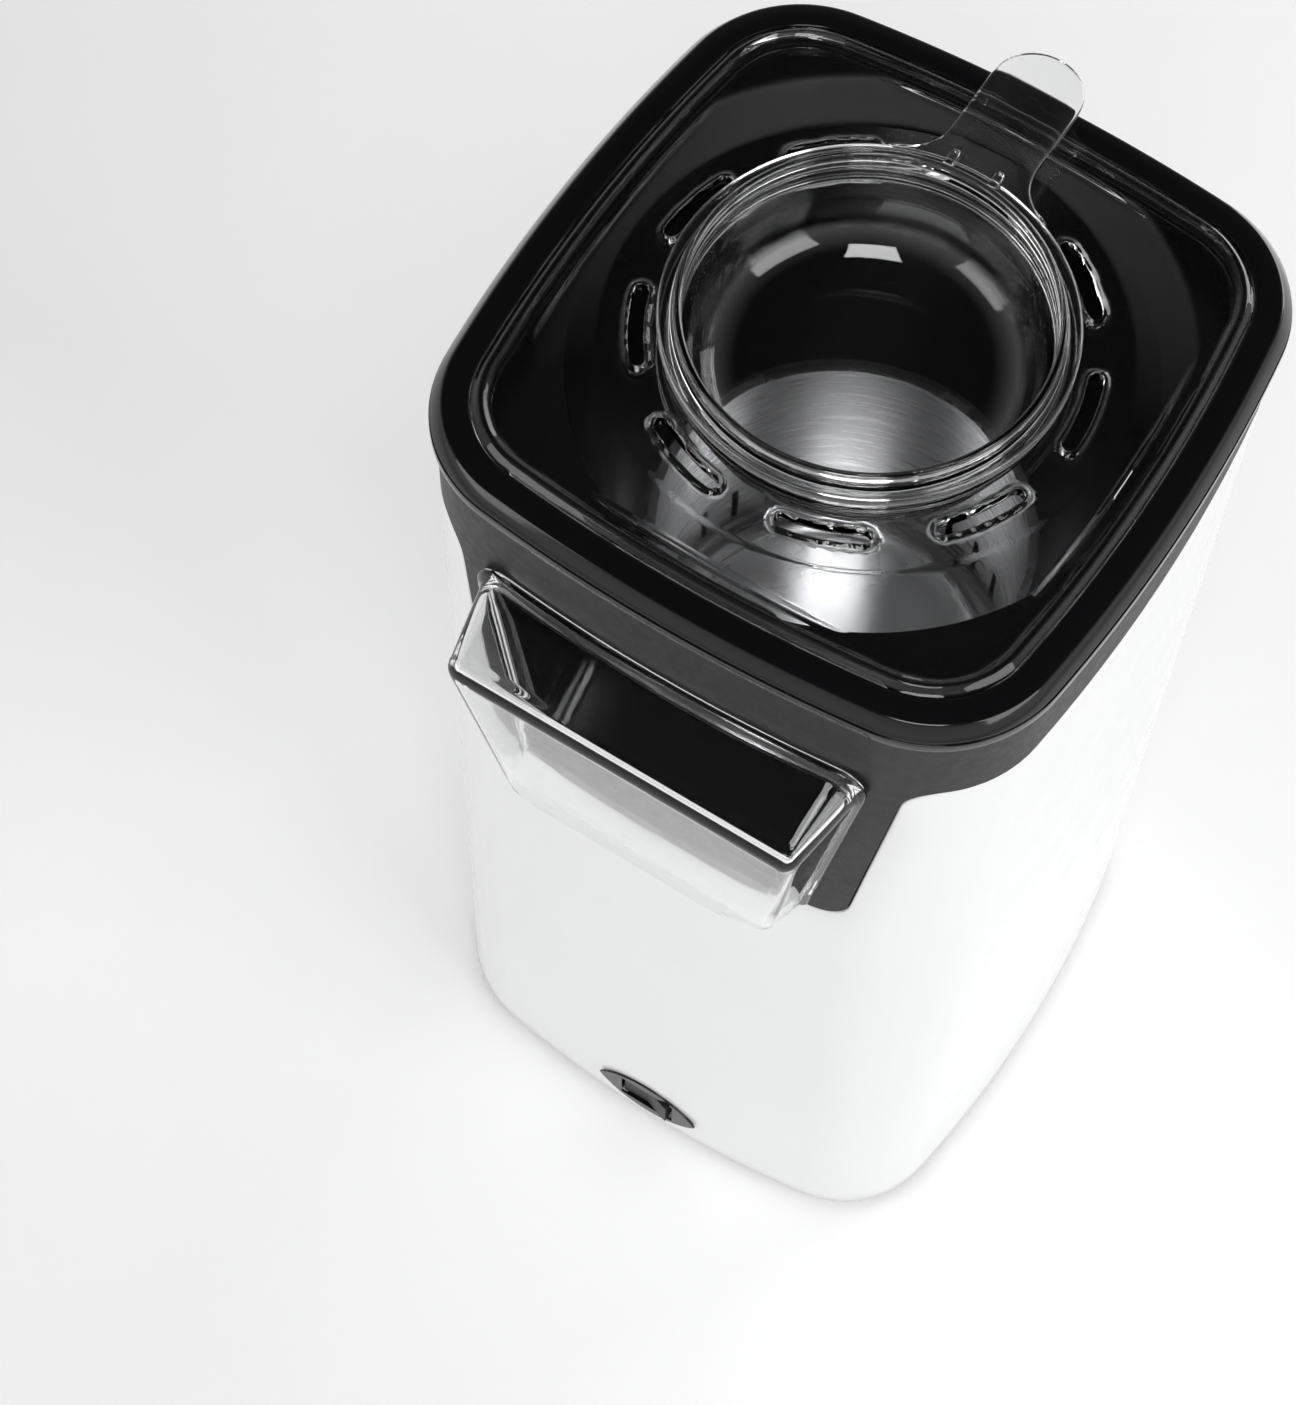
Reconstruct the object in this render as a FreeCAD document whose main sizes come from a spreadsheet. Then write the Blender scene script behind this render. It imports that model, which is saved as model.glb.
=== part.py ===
import FreeCAD, Part
import math
import os
import Sketcher

# Hot-air popcorn maker.  Millimetres, +Z up, the chute faces -Y, and the origin lies on the
# table under the middle of the machine.

doc = FreeCAD.newDocument("popcorn_maker")
sheet = doc.addObject("Spreadsheet::Sheet", "sizes")

SIZES = [
    # housing outline: a rounded square with slightly bulging sides, a little narrower at the top
    ("base_half_x", 79.6),
    ("base_half_y", 81.4),
    ("base_side_radius", 325.0),
    ("base_corner_radius", 29.7),
    ("top_half_x", 78.5),
    ("top_half_y", 80.3),
    ("top_side_radius", 410.0),
    ("top_corner_radius", 31.3),
    ("shell_bottom", 3.5),
    ("collar_bottom", 275.0),
    ("collar_top", 296.6),
    ("shell_wall", 2.4),
    ("lip_deep", 6.0),
    ("lip_wall", 1.6),
    ("seam", 0.35),
    ("fit", 0.3),
    # front apron of the collar and the chute mouth in it
    ("apron_top_half", 57.5),
    ("apron_bottom_half", 48.5),
    ("apron_bottom", 200.0),
    ("apron_shoulder_radius", 9.0),
    ("apron_corner_radius", 10.0),
    ("mouth_top_half", 48.0),
    ("mouth_bottom_half", 37.0),
    ("mouth_top", 273.0),
    ("mouth_bottom", 206.0),
    ("mouth_corner_radius", 5.0),
    # clear hood over the chute mouth
    ("hood_wall", 2.2),
    ("hood_front_top_half", 46.0),
    ("hood_front_bottom_half", 37.5),
    ("hood_front_reach", 101.5),
    ("hood_front_top", 268.5),
    ("hood_front_long", 62.0),
    ("hood_lean", 7.8),
    ("hood_corner_radius", 4.0),
    ("hood_open", 14.0),
    ("neck_deep", 2.0),
    # top ring, lid window and measuring cup
    ("ring_overhang", 1.5),
    ("ring_gap", 0.9),
    ("ring_skirt", 2.9),
    ("ring_line", 0.5),
    ("ring_chamfer_high", 3.9),
    ("ring_chamfer_wide", 2.8),
    ("ring_band", 9.0),
    ("ring_ledge", 5.0),
    ("ring_ledge_high", 2.2),
    ("ring_spigot_deep", 3.0),
    ("ring_spigot_wall", 2.0),
    ("ring_spigot_gap", 0.6),
    ("ring_rest_wide", 1.1),
    ("ring_rest_gap", 0.15),
    ("lid_wall", 2.6),
    ("lid_bead_inset", 2.2),
    ("lid_bead_wide", 2.6),
    ("lid_bead_high", 1.2),
    ("lid_channel", 3.4),
    ("plateau_wide", 15.9),
    ("plateau_high", 2.6),
    ("cone_wide", 14.7),
    ("slot_ring_off", 8.0),
    ("slot_half_long", 8.75),
    ("slot_wide", 3.4),
    ("slot_lip", 0.9),
    ("slot_lip_high", 1.0),
    ("slot_places", 9),
    ("cup_radius", 42.4),
    ("cup_wall", 1.8),
    ("cup_depth", 32.0),
    ("cup_floor_radius", 17.0),
    ("cup_proud", 10.8),
    ("cup_lip_high", 2.8),
    ("cup_rim_wide", 3.6),
    ("cup_rim_high", 3.0),
    ("cup_seat_wide", 2.6),
    ("cup_seat_high", 1.8),
    ("cup_clear", 0.6),
    ("tab_reach", 83.0),
    ("tab_half_wide", 11.0),
    ("tab_root_half", 16.0),
    ("tab_thick", 2.2),
    ("nub_half_spacing", 5.6),
    ("nub_wide", 2.2),
    ("nub_high", 3.0),
    # black inner bowl, chute and popping chamber
    ("bowl_flare", 19.0),
    ("bowl_wall", 2.0),
    ("bowl_flange_high", 2.0),
    ("bowl_drop", 3.4),
    ("chamber_radius", 46.0),
    ("chamber_wall", 1.2),
    ("chamber_top", 222.0),
    ("chamber_bottom", 152.0),
    ("chamber_flange", 5.6),
    ("chamber_corner_radius", 10.0),
    ("gasket_high", 2.2),
    ("chute_wall", 2.0),
    ("chute_rear", 30.0),
    ("chute_rear_half", 44.0),
    ("chute_rear_floor", 226.0),
    ("chute_set_back", 1.4),
    ("louvre_count", 28),
    ("louvre_wide", 2.0),
    ("louvre_high", 13.0),
    ("louvre_bottom", 163.0),
    # heater
    ("heater_can_gap", 4.0),
    ("heater_can_wall", 0.8),
    ("heater_can_lift", 0.3),
    ("mica_thick", 0.8),
    ("mica_bottom", 112.0),
    ("mica_high", 28.0),
    ("mica_gap", 5.2),
    ("mica_slot_gap", 0.1),
    ("coil_wire_radius", 0.6),
    ("coil_pitch", 7.0),
    ("coil_first", 20.0),
    ("coil_turns", 4),
    # fan
    ("fan_flange", 3.0),
    ("fan_wall", 2.2),
    ("fan_floor", 76.0),
    ("fan_floor_thick", 2.5),
    ("fan_high", 32.0),
    ("fan_leg_radius", 5.0),
    ("fan_leg_inset", 6.0),
    ("fan_inlet_inner", 24.0),
    ("fan_inlet_outer", 43.0),
    ("impeller_gap", 5.8),
    ("impeller_hub_radius", 7.0),
    ("impeller_disc", 1.6),
    ("impeller_high", 16.0),
    ("impeller_lift", 5.0),
    ("blade_thick", 1.6),
    ("blade_count", 12),
    ("blade_inner", 18.0),
    # motor
    ("motor_radius", 19.0),
    ("motor_wall", 1.2),
    ("motor_high", 44.0),
    ("end_cap_high", 4.0),
    ("shaft_radius", 1.6),
    ("bush_radius", 4.0),
    ("bush_high", 4.0),
    ("running_gap", 0.05),
    ("magnet_thick", 2.8),
    ("magnet_half_angle", 62.0),
    ("magnet_high", 30.0),
    ("magnet_gap", 0.1),
    ("armature_radius", 13.6),
    ("armature_high", 24.0),
    ("armature_slots", 5),
    ("armature_slot_wide", 2.4),
    ("commutator_radius", 4.6),
    ("commutator_high", 7.0),
    ("board_radius", 17.0),
    ("board_thick", 1.6),
    ("board_gap", 1.0),
    ("diode_high", 2.4),
    ("thermostat_radius", 7.0),
    ("thermostat_deep", 5.0),
    ("thermostat_tab_long", 6.0),
    ("fuse_radius", 2.0),
    ("fuse_long", 11.0),
    # base, feet and fasteners
    ("base_bottom", 2.0),
    ("base_thick", 2.6),
    ("base_rim_high", 2.6),
    ("base_rim_wall", 2.0),
    ("base_inset", 0.8),
    ("foot_radius", 7.0),
    ("foot_seat", 1.2),
    ("foot_place_x", 55.0),
    ("foot_place_y", 57.0),
    ("grille_rings", 4),
    ("grille_first", 12.0),
    ("grille_pitch", 8.0),
    ("grille_slot", 4.0),
    ("grille_spokes", 6),
    ("grille_spoke_wide", 5.0),
    ("boss_radius", 4.2),
    ("boss_high", 20.0),
    ("boss_edge", 3.6),
    ("boss_place_x", 63.0),
    ("boss_place_y", 40.0),
    ("screw_radius", 1.5),
    ("screw_head_radius", 2.9),
    ("screw_head_high", 1.6),
    ("screw_long", 11.0),
    # switch
    ("switch_height", 16.5),
    ("switch_half_wide", 16.0),
    ("switch_half_high", 8.4),
    ("switch_proud", 0.6),
    ("switch_flange", 1.6),
    ("switch_cavity_half_wide", 8.5),
    ("switch_cavity_half_high", 5.2),
    ("rocker_half_wide", 7.6),
    ("rocker_half_high", 4.8),
    ("rocker_tilt", 8.0),
    ("rocker_deep", 5.2),
    ("switch_body_deep", 16.0),
    ("switch_body_wall", 1.2),
    ("switch_tab_wide", 4.8),
    ("switch_tab_thick", 0.8),
    ("switch_tab_long", 8.0),
    ("switch_tab_pitch", 7.0),
    ("pin_radius", 1.0),
    ("pin_long", 0.9),
    # cord inlet bush in the rear wall
    ("inlet_height", 20.0),
    ("inlet_radius", 5.5),
    ("inlet_bore", 3.6),
    ("inlet_flange", 7.5),
    ("inlet_flange_thick", 1.6),
    ("terminal_place_x", 40.0),
    ("terminal_place_y", 45.0),
    ("terminal_half", 9.0),
    ("terminal_high", 11.0),
]


class Size:
    """A size known as a number and as the spreadsheet expression that gives it."""

    def __init__(self, value, text):
        self.value = value
        self.text = text

    def __add__(self, other):
        other = as_size(other)
        return Size(self.value + other.value, f"({self.text} + {other.text})")

    def __radd__(self, other):
        return as_size(other) + self

    def __sub__(self, other):
        other = as_size(other)
        return Size(self.value - other.value, f"({self.text} - {other.text})")

    def __rsub__(self, other):
        return as_size(other) - self

    def __mul__(self, other):
        other = as_size(other)
        return Size(self.value * other.value, f"({self.text} * {other.text})")

    def __rmul__(self, other):
        return as_size(other) * self

    def __truediv__(self, other):
        other = as_size(other)
        return Size(self.value / other.value, f"({self.text} / {other.text})")

    def __neg__(self):
        return Size(-self.value, f"(0 - {self.text})")


def as_size(value):
    """A plain number as a Size; a Size stays as it is."""
    if isinstance(value, Size):
        return value
    return Size(float(value), f"({value})" if value < 0 else str(value))


size = {}
for row, (name, value) in enumerate(SIZES, start=1):
    sheet.set(f"A{row}", name)
    sheet.set(f"B{row}", str(value))
    sheet.setAlias(f"B{row}", name)
    size[name] = Size(float(value), f"<<sizes>>.{name}")
doc.recompute()

PIECES = []
ZERO = Size(0.0, "0")
# the hood reaches further forward than the cup's handle reaches back, so the axis stands off the middle
middle_shift = (size["hood_front_reach"] - size["tab_reach"]) / 2


# ---------------------------------------------------------------- sketches and features

def new_body(label):
    """A PartDesign body that becomes one node."""
    body = doc.addObject("PartDesign::Body", label)
    body.Label = label
    body.AllowCompound = True
    body.Placement.Base.y = middle_shift.value
    body.setExpression("Placement.Base.y", middle_shift.text)
    PIECES.append(body)
    return body


def origin_item(body, role):
    """The body's own origin plane or axis with this role."""
    return next(item for item in body.Origin.OriginFeatures if item.Role == role)


def sketch_on(body, plane, offset=ZERO, height=ZERO):
    """A sketch on one of the body's origin planes, moved along its normal and its own v direction."""
    sketch = body.newObject("Sketcher::SketchObject", "profile")
    sketch.AttachmentSupport = (origin_item(body, plane), [""])
    sketch.MapMode = "FlatFace"
    place = FreeCAD.Vector(0, height.value, offset.value)
    sketch.AttachmentOffset = FreeCAD.Placement(place, FreeCAD.Rotation())
    sketch.setExpression("AttachmentOffset.Base.z", offset.text)
    sketch.setExpression("AttachmentOffset.Base.y", height.text)
    return sketch


def bind(sketch, kind, *places, target):
    """A dimension constraint whose value follows the spreadsheet."""
    index = sketch.addConstraint(Sketcher.Constraint(kind, *places, target.value))
    sketch.setExpression(f"Constraints[{index}]", target.text)


def pin(sketch, geometry, end, x, y):
    """Hold a point of the sketch at (x, y)."""
    for kind, axis, target in (("DistanceX", -2, x), ("DistanceY", -1, y)):
        if abs(target.value) < 1e-9:
            sketch.addConstraint(Sketcher.Constraint("PointOnObject", geometry, end, axis))
        else:
            bind(sketch, kind, -1, 1, geometry, end, target=target)


def outline(sketch, corners):
    """A closed outline through corners (x, y) or (x, y, radius of that corner)."""
    spots = []
    for corner in corners:
        x, y = as_size(corner[0]), as_size(corner[1])
        radius = as_size(corner[2]) if len(corner) > 2 else None
        spots.append((x, y, radius, FreeCAD.Vector(x.value, y.value, 0)))
    count = len(spots)
    arrive, leave, arcs = [], [], []
    for i, (x, y, radius, at) in enumerate(spots):
        back = (spots[i - 1][3] - at).normalize()
        ahead = (spots[(i + 1) % count][3] - at).normalize()
        if radius is None:
            arrive.append(at)
            leave.append(at)
            arcs.append(None)
            continue
        half = back.getAngle(ahead) / 2
        run = radius.value / math.tan(half)
        arrive.append(at + back * run)
        leave.append(at + ahead * run)
        centre = at + (back + ahead).normalize() * (radius.value / math.sin(half))
        left_turn = back.cross(ahead).z < 0
        arcs.append((centre, radius.value, left_turn))
    lines = []
    for i in range(count):
        lines.append(sketch.addGeometry(Part.LineSegment(leave[i], arrive[(i + 1) % count])))
    for i, (x, y, radius, at) in enumerate(spots):
        before, after = lines[i - 1], lines[i]
        if radius is None:
            sketch.addConstraint(Sketcher.Constraint("Coincident", before, 2, after, 1))
            pin(sketch, after, 1, x, y)
            continue
        centre, arc_radius, left_turn = arcs[i]
        first, last = (arrive[i], leave[i]) if left_turn else (leave[i], arrive[i])
        start = math.atan2(first.y - centre.y, first.x - centre.x)
        end = math.atan2(last.y - centre.y, last.x - centre.x)
        circle = Part.Circle(centre, FreeCAD.Vector(0, 0, 1), arc_radius)
        arc = sketch.addGeometry(Part.ArcOfCircle(circle, start, end))
        meets_before, meets_after = (1, 2) if left_turn else (2, 1)
        sketch.addConstraint(Sketcher.Constraint("Tangent", before, 2, arc, meets_before))
        sketch.addConstraint(Sketcher.Constraint("Tangent", arc, meets_after, after, 1))
        bind(sketch, "Radius", arc, target=radius)
        corner = sketch.addGeometry(Part.Point(at), True)
        pin(sketch, corner, 1, x, y)
        sketch.addConstraint(Sketcher.Constraint("PointOnObject", corner, 1, before))
        sketch.addConstraint(Sketcher.Constraint("PointOnObject", corner, 1, after))


def pillow(sketch, half_x, half_y, side_radius, corner_radius):
    """A rounded square whose four sides are shallow arcs."""
    reach_x = side_radius.value - half_x.value
    reach_y = side_radius.value - half_y.value
    inner = side_radius.value - corner_radius.value
    # the corner circle's centre lies (inner) away from both side centres (-reach_x, 0) and (0, -reach_y)
    spread = math.hypot(reach_x, reach_y)
    middle = FreeCAD.Vector(-reach_x / 2, -reach_y / 2, 0)
    rise = math.sqrt(inner ** 2 - (spread / 2) ** 2)
    centre = middle + FreeCAD.Vector(reach_y / spread, reach_x / spread, 0) * rise
    side_turn = math.atan2(centre.y, centre.x + reach_x)
    end_turn = math.atan2(centre.y + reach_y, centre.x)
    up = FreeCAD.Vector(0, 0, 1)
    arcs = []
    for quarter in range(4):
        across = quarter % 2 == 0
        turn = quarter * math.pi / 2
        back = reach_x if across else reach_y
        side_centre = FreeCAD.Vector(-back * math.cos(turn), -back * math.sin(turn), 0)
        half_turn = side_turn if across else math.pi / 2 - end_turn
        side_circle = Part.Circle(side_centre, up, side_radius.value)
        side = Part.ArcOfCircle(side_circle, turn - half_turn, turn + half_turn)
        arcs.append(sketch.addGeometry(side))
        sign_x = 1 if quarter in (0, 3) else -1
        sign_y = 1 if quarter in (0, 1) else -1
        corner_centre = FreeCAD.Vector(sign_x * centre.x, sign_y * centre.y, 0)
        next_half = math.pi / 2 - end_turn if across else side_turn
        corner_circle = Part.Circle(corner_centre, up, corner_radius.value)
        corner = Part.ArcOfCircle(corner_circle, turn + half_turn, turn + math.pi / 2 - next_half)
        arcs.append(sketch.addGeometry(corner))
    for i, arc in enumerate(arcs):
        sketch.addConstraint(Sketcher.Constraint("Tangent", arc, 2, arcs[(i + 1) % 8], 1))
    for quarter in range(4):
        side = arcs[2 * quarter]
        bind(sketch, "Radius", side, target=side_radius)
        bind(sketch, "Radius", arcs[2 * quarter + 1], target=corner_radius)
        back = side_radius - (half_x if quarter % 2 == 0 else half_y)
        if quarter in (0, 1):
            back = -back
        x, y = (back, ZERO) if quarter % 2 == 0 else (ZERO, back)
        pin(sketch, side, 3, x, y)


def circle(sketch, radius, x=ZERO, y=ZERO):
    """A full circle."""
    centre = FreeCAD.Vector(x.value, y.value, 0)
    ring = sketch.addGeometry(Part.Circle(centre, FreeCAD.Vector(0, 0, 1), radius.value))
    bind(sketch, "Radius", ring, target=radius)
    pin(sketch, ring, 3, x, y)


def rectangle(sketch, x0, x1, y0, y1):
    """A rectangle with sides along the axes."""
    outline(sketch, [(x0, y0), (x1, y0), (x1, y1), (x0, y1)])


def feature(body, kind, profile, **settings):
    """A PartDesign feature made from a sketch."""
    made = body.newObject(f"PartDesign::{kind}", kind.lower())
    made.Profile = profile
    for key, value in settings.items():
        setattr(made, key, value)
    body.Tip = made
    return made


def pad(body, sketch, length, reverse=False, both=False):
    """Grow the sketch along its normal."""
    made = feature(body, "Pad", sketch, Length=length.value, Reversed=reverse, Midplane=both)
    made.setExpression("Length", length.text)
    return made


def pocket(body, sketch, length, reverse=False, both=False):
    """Cut the sketch out against its normal, or along it when reversed."""
    doc.recompute()
    before = body.Shape.Volume
    made = feature(body, "Pocket", sketch, Length=length.value, Reversed=reverse, Midplane=both)
    made.setExpression("Length", length.text)
    doc.recompute()
    if body.Shape.Volume > before - 1e-3:
        raise RuntimeError(f"a pocket of {body.Label} cuts nothing")
    return made


def turn(body, sketch, cut=False):
    """Revolve a sketch of (radius, height) about the vertical axis."""
    kind = "Groove" if cut else "Revolution"
    made = feature(body, kind, sketch, ReferenceAxis=(sketch, ["V_Axis"]), Angle=360.0)
    return made


def turned(body, corners, cut=False):
    """A turned shape, or a turned cut, from corners (radius, height[, corner radius])."""
    sketch = sketch_on(body, "XZ_Plane")
    outline(sketch, corners)
    return turn(body, sketch, cut)


def loft(body, first, second, cut=False):
    """Join two sketches with straight sides, or cut that shape out."""
    made = body.newObject("PartDesign::SubtractiveLoft" if cut else "PartDesign::AdditiveLoft", "loft")
    made.Profile = first
    made.Sections = [second]
    made.Ruled = True
    body.Tip = made
    return made


def polar(body, original, count):
    """Repeat a feature round the vertical axis."""
    made = body.newObject("PartDesign::PolarPattern", "polar")
    made.Originals = [original]
    made.Axis = (origin_item(body, "Z_Axis"), [""])
    made.Angle = 360.0
    made.Occurrences = int(count.value)
    made.setExpression("Occurrences", count.text)
    body.Tip = made
    return made


def mirror(body, originals, plane):
    """Repeat features on the other side of an origin plane."""
    made = body.newObject("PartDesign::Mirrored", "mirror")
    made.Originals = originals
    made.MirrorPlane = (origin_item(body, plane), [""])
    body.Tip = made
    return made


def rounded_ring(body, bottom, top, outer, inner):
    """A pillow-shaped ring between two heights; outer and inner are insets from the top ring's outline."""
    sketch = sketch_on(body, "XY_Plane", bottom)
    ring_outline(sketch, outer)
    if inner is not None:
        ring_outline(sketch, inner)
    return pad(body, sketch, top - bottom)


def ring_outline(sketch, inset):
    """The outline of the top ring, moved in by inset."""
    pillow(sketch, ring_half_x - inset, ring_half_y - inset, ring_side - inset, ring_corner - inset)


def base_outline(sketch, inset):
    """The outline of the housing's foot, moved in by inset."""
    pillow(sketch, size["base_half_x"] - inset, size["base_half_y"] - inset,
           size["base_side_radius"] - inset, size["base_corner_radius"] - inset)


def top_outline(sketch, inset):
    """The outline of the housing's upper end, moved in by inset."""
    pillow(sketch, size["top_half_x"] - inset, size["top_half_y"] - inset,
           size["top_side_radius"] - inset, size["top_corner_radius"] - inset)


def wall_loft(body, inset, cut=False):
    """The housing's tapering form from its foot to the top of the collar, moved in by inset."""
    low = sketch_on(body, "XY_Plane", size["shell_bottom"])
    base_outline(low, inset)
    high = sketch_on(body, "XY_Plane", size["collar_top"])
    top_outline(high, inset)
    return loft(body, low, high, cut)


# heights and outlines that several pieces share
far = size["base_half_y"] * 2
ring_half_x = size["top_half_x"] + size["ring_overhang"]
ring_half_y = size["top_half_y"] + size["ring_overhang"]
ring_side = size["top_side_radius"] + size["ring_overhang"]
ring_corner = size["top_corner_radius"] + size["ring_overhang"]
ring_bottom = size["collar_top"] + size["ring_gap"]
ring_line_low = ring_bottom + size["ring_skirt"]
ring_chamfer_low = ring_line_low + size["ring_line"]
ring_top = ring_chamfer_low + size["ring_chamfer_high"]
ledge_inset = size["ring_band"] + size["ring_ledge"]
lid_bottom = ring_top - size["lid_wall"]
lid_inset = size["ring_band"] + size["fit"]
plateau_top = ring_top + size["plateau_high"]
cup_top = plateau_top + size["cup_proud"]
bowl_flange_top = ring_bottom - size["ring_spigot_deep"] - size["ring_spigot_gap"]
bowl_bottom = size["chamber_top"] + size["gasket_high"] + size["chamber_wall"]
fan_top = size["fan_floor"] + size["fan_high"]
motor_top = size["fan_floor"]
motor_bottom = motor_top - size["motor_high"]
cap_bottom = motor_bottom - size["end_cap_high"]
shaft_clear = size["shaft_radius"] + size["running_gap"]
impeller_bottom = size["fan_floor"] + size["fan_floor_thick"] + size["impeller_lift"]
base_top = size["base_bottom"] + size["base_thick"]
cup_rim_radius = size["cup_radius"] + size["cup_rim_wide"]
cup_seat_radius = size["cup_radius"] + size["cup_seat_wide"]
slot_ring_radius = size["cup_radius"] + size["slot_ring_off"]
plateau_radius = size["cup_radius"] + size["plateau_wide"]
cone_radius = plateau_radius + size["cone_wide"]
bowl_throat = size["chamber_radius"] + 1
bowl_mouth_radius = bowl_throat + size["bowl_flare"]
heater_can_radius = size["chamber_radius"] + size["heater_can_gap"]
fan_radius = heater_can_radius + size["fan_flange"]
mica_half = heater_can_radius - size["heater_can_wall"] - size["mica_gap"]
impeller_radius = fan_radius - size["fan_wall"] - size["impeller_gap"]
boss_bottom = base_top + size["fit"]


def front_profile(sketch, gap, top):
    """What the collar takes from the front of the housing: all above its lower edge, and the apron."""
    low = size["collar_bottom"] - gap
    foot = size["apron_bottom"] - gap
    wide = size["apron_top_half"] + gap
    narrow = size["apron_bottom_half"] + gap
    shoulder = size["apron_shoulder_radius"]
    corner = size["apron_corner_radius"]
    outline(sketch, [(-far, low), (-wide, low, shoulder), (-narrow, foot, corner), (narrow, foot, corner),
                     (wide, low, shoulder), (far, low), (far, top), (-far, top)])


def mouth_profile(sketch, grow, lower=None, drop=ZERO):
    """The chute's mouth seen from the front, grown by a margin."""
    corner = size["mouth_corner_radius"] + grow
    foot = (size["mouth_bottom"] if lower is None else lower) - grow - drop
    outline(sketch, [(-size["mouth_bottom_half"] - grow, foot, corner),
                     (size["mouth_bottom_half"] + grow, foot, corner),
                     (size["mouth_top_half"] + grow, size["mouth_top"] + grow, corner),
                     (-size["mouth_top_half"] - grow, size["mouth_top"] + grow, corner)])


def lens(sketch, half_wide, half_high, height):
    """Two arcs that meet in points at the left and right."""
    wide, high = half_wide.value, half_high.value
    radius = (wide ** 2 + high ** 2) / (2 * high)
    half_turn = math.asin(wide / radius)
    up = FreeCAD.Vector(0, 0, 1)
    arcs = []
    for side, middle in ((1, math.pi / 2), (-1, -math.pi / 2)):
        centre = FreeCAD.Vector(0, height.value + side * (high - radius), 0)
        arc = Part.ArcOfCircle(Part.Circle(centre, up, radius), middle - half_turn, middle + half_turn)
        arcs.append(sketch.addGeometry(arc))
    sketch.addConstraint(Sketcher.Constraint("Coincident", arcs[0], 2, arcs[1], 1))
    sketch.addConstraint(Sketcher.Constraint("Coincident", arcs[1], 2, arcs[0], 1))
    pin(sketch, arcs[0], 1, half_wide, height)
    pin(sketch, arcs[0], 2, -half_wide, height)
    for arc, side in zip(arcs, (1, -1)):
        crown = sketch.addGeometry(Part.Point(FreeCAD.Vector(0, height.value + side * high, 0)), True)
        pin(sketch, crown, 1, ZERO, height + half_high if side > 0 else height - half_high)
        sketch.addConstraint(Sketcher.Constraint("PointOnObject", crown, 1, arc))


def four_circles(sketch, radius, x, y):
    """The same circle in the four corners."""
    for sign_x in (1, -1):
        for sign_y in (1, -1):
            circle(sketch, radius, x if sign_x > 0 else -x, y if sign_y > 0 else -y)


def bore(body, radius, bottom, top):
    """A hole on the vertical axis between two heights."""
    sketch = sketch_on(body, "XY_Plane", bottom)
    circle(sketch, radius)
    return pocket(body, sketch, top - bottom, reverse=True)


# ---------------------------------------------------------------- housing, collar and base

def make_housing_shell():
    """White shell: the lower body, cut away where the collar and its apron sit."""
    body = new_body("housing_shell")
    wall_loft(body, ZERO)
    wall_loft(body, size["shell_wall"], cut=True)
    bosses = sketch_on(body, "XY_Plane", boss_bottom)
    inner = size["boss_place_x"] - size["boss_radius"]
    outer = size["base_half_x"] - size["boss_edge"]
    for sign in (1, -1):
        y = size["boss_place_y"] if sign > 0 else -size["boss_place_y"]
        rectangle(bosses, inner, outer, y - size["boss_radius"], y + size["boss_radius"])
        rectangle(bosses, -outer, -inner, y - size["boss_radius"], y + size["boss_radius"])
    pad(body, bosses, size["boss_high"])
    holes = sketch_on(body, "XY_Plane", boss_bottom)
    boss_circles(holes, size["screw_radius"])
    pocket(body, holes, size["screw_long"] - size["base_thick"] + 1, reverse=True)
    top = size["collar_top"] + 10
    front = sketch_on(body, "XZ_Plane")
    front_profile(front, size["seam"], top)
    pocket(body, front, far, reverse=True)
    back = sketch_on(body, "XZ_Plane")
    rectangle(back, -far, far, size["collar_bottom"] - size["seam"], top)
    pocket(body, back, far)
    switch = sketch_on(body, "XZ_Plane")
    hole_wide = size["switch_half_wide"] - size["switch_flange"]
    hole_high = size["switch_half_high"] - size["switch_flange"]
    lens(switch, hole_wide, hole_high, size["switch_height"])
    pocket(body, switch, far, reverse=True)
    inlet = sketch_on(body, "XZ_Plane")
    circle(inlet, size["inlet_radius"], ZERO, size["inlet_height"])
    pocket(body, inlet, far)


def make_collar():
    """Dark collar: the upper band of the housing with the front apron and the chute's mouth."""
    body = new_body("collar")
    wall_loft(body, ZERO)
    wall_loft(body, size["shell_wall"], cut=True)
    low = size["collar_bottom"]
    front = sketch_on(body, "XZ_Plane")
    front_profile(front, ZERO, ZERO)
    pocket(body, front, far, reverse=True)
    back = sketch_on(body, "XZ_Plane")
    rectangle(back, -far, far, ZERO, low)
    pocket(body, back, far)
    lip_outer = size["shell_wall"] + size["fit"]
    lip_inner = lip_outer + size["lip_wall"]
    lip = sketch_on(body, "XY_Plane", low - size["lip_deep"])
    top_outline(lip, lip_outer)
    top_outline(lip, lip_inner)
    pad(body, lip, size["lip_deep"] + size["lip_wall"])
    join = sketch_on(body, "XY_Plane", low)
    top_outline(join, size["shell_wall"] / 2)
    top_outline(join, lip_inner)
    pad(body, join, size["lip_wall"])
    rest = sketch_on(body, "XY_Plane", size["collar_top"] - 1)
    top_outline(rest, size["shell_wall"] - size["ring_rest_wide"])
    top_outline(rest, size["shell_wall"])
    pad(body, rest, size["ring_gap"] + 1 - size["ring_rest_gap"])
    mouth = sketch_on(body, "XZ_Plane")
    mouth_profile(mouth, size["hood_wall"] + size["fit"])
    pocket(body, mouth, far, reverse=True)


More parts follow.
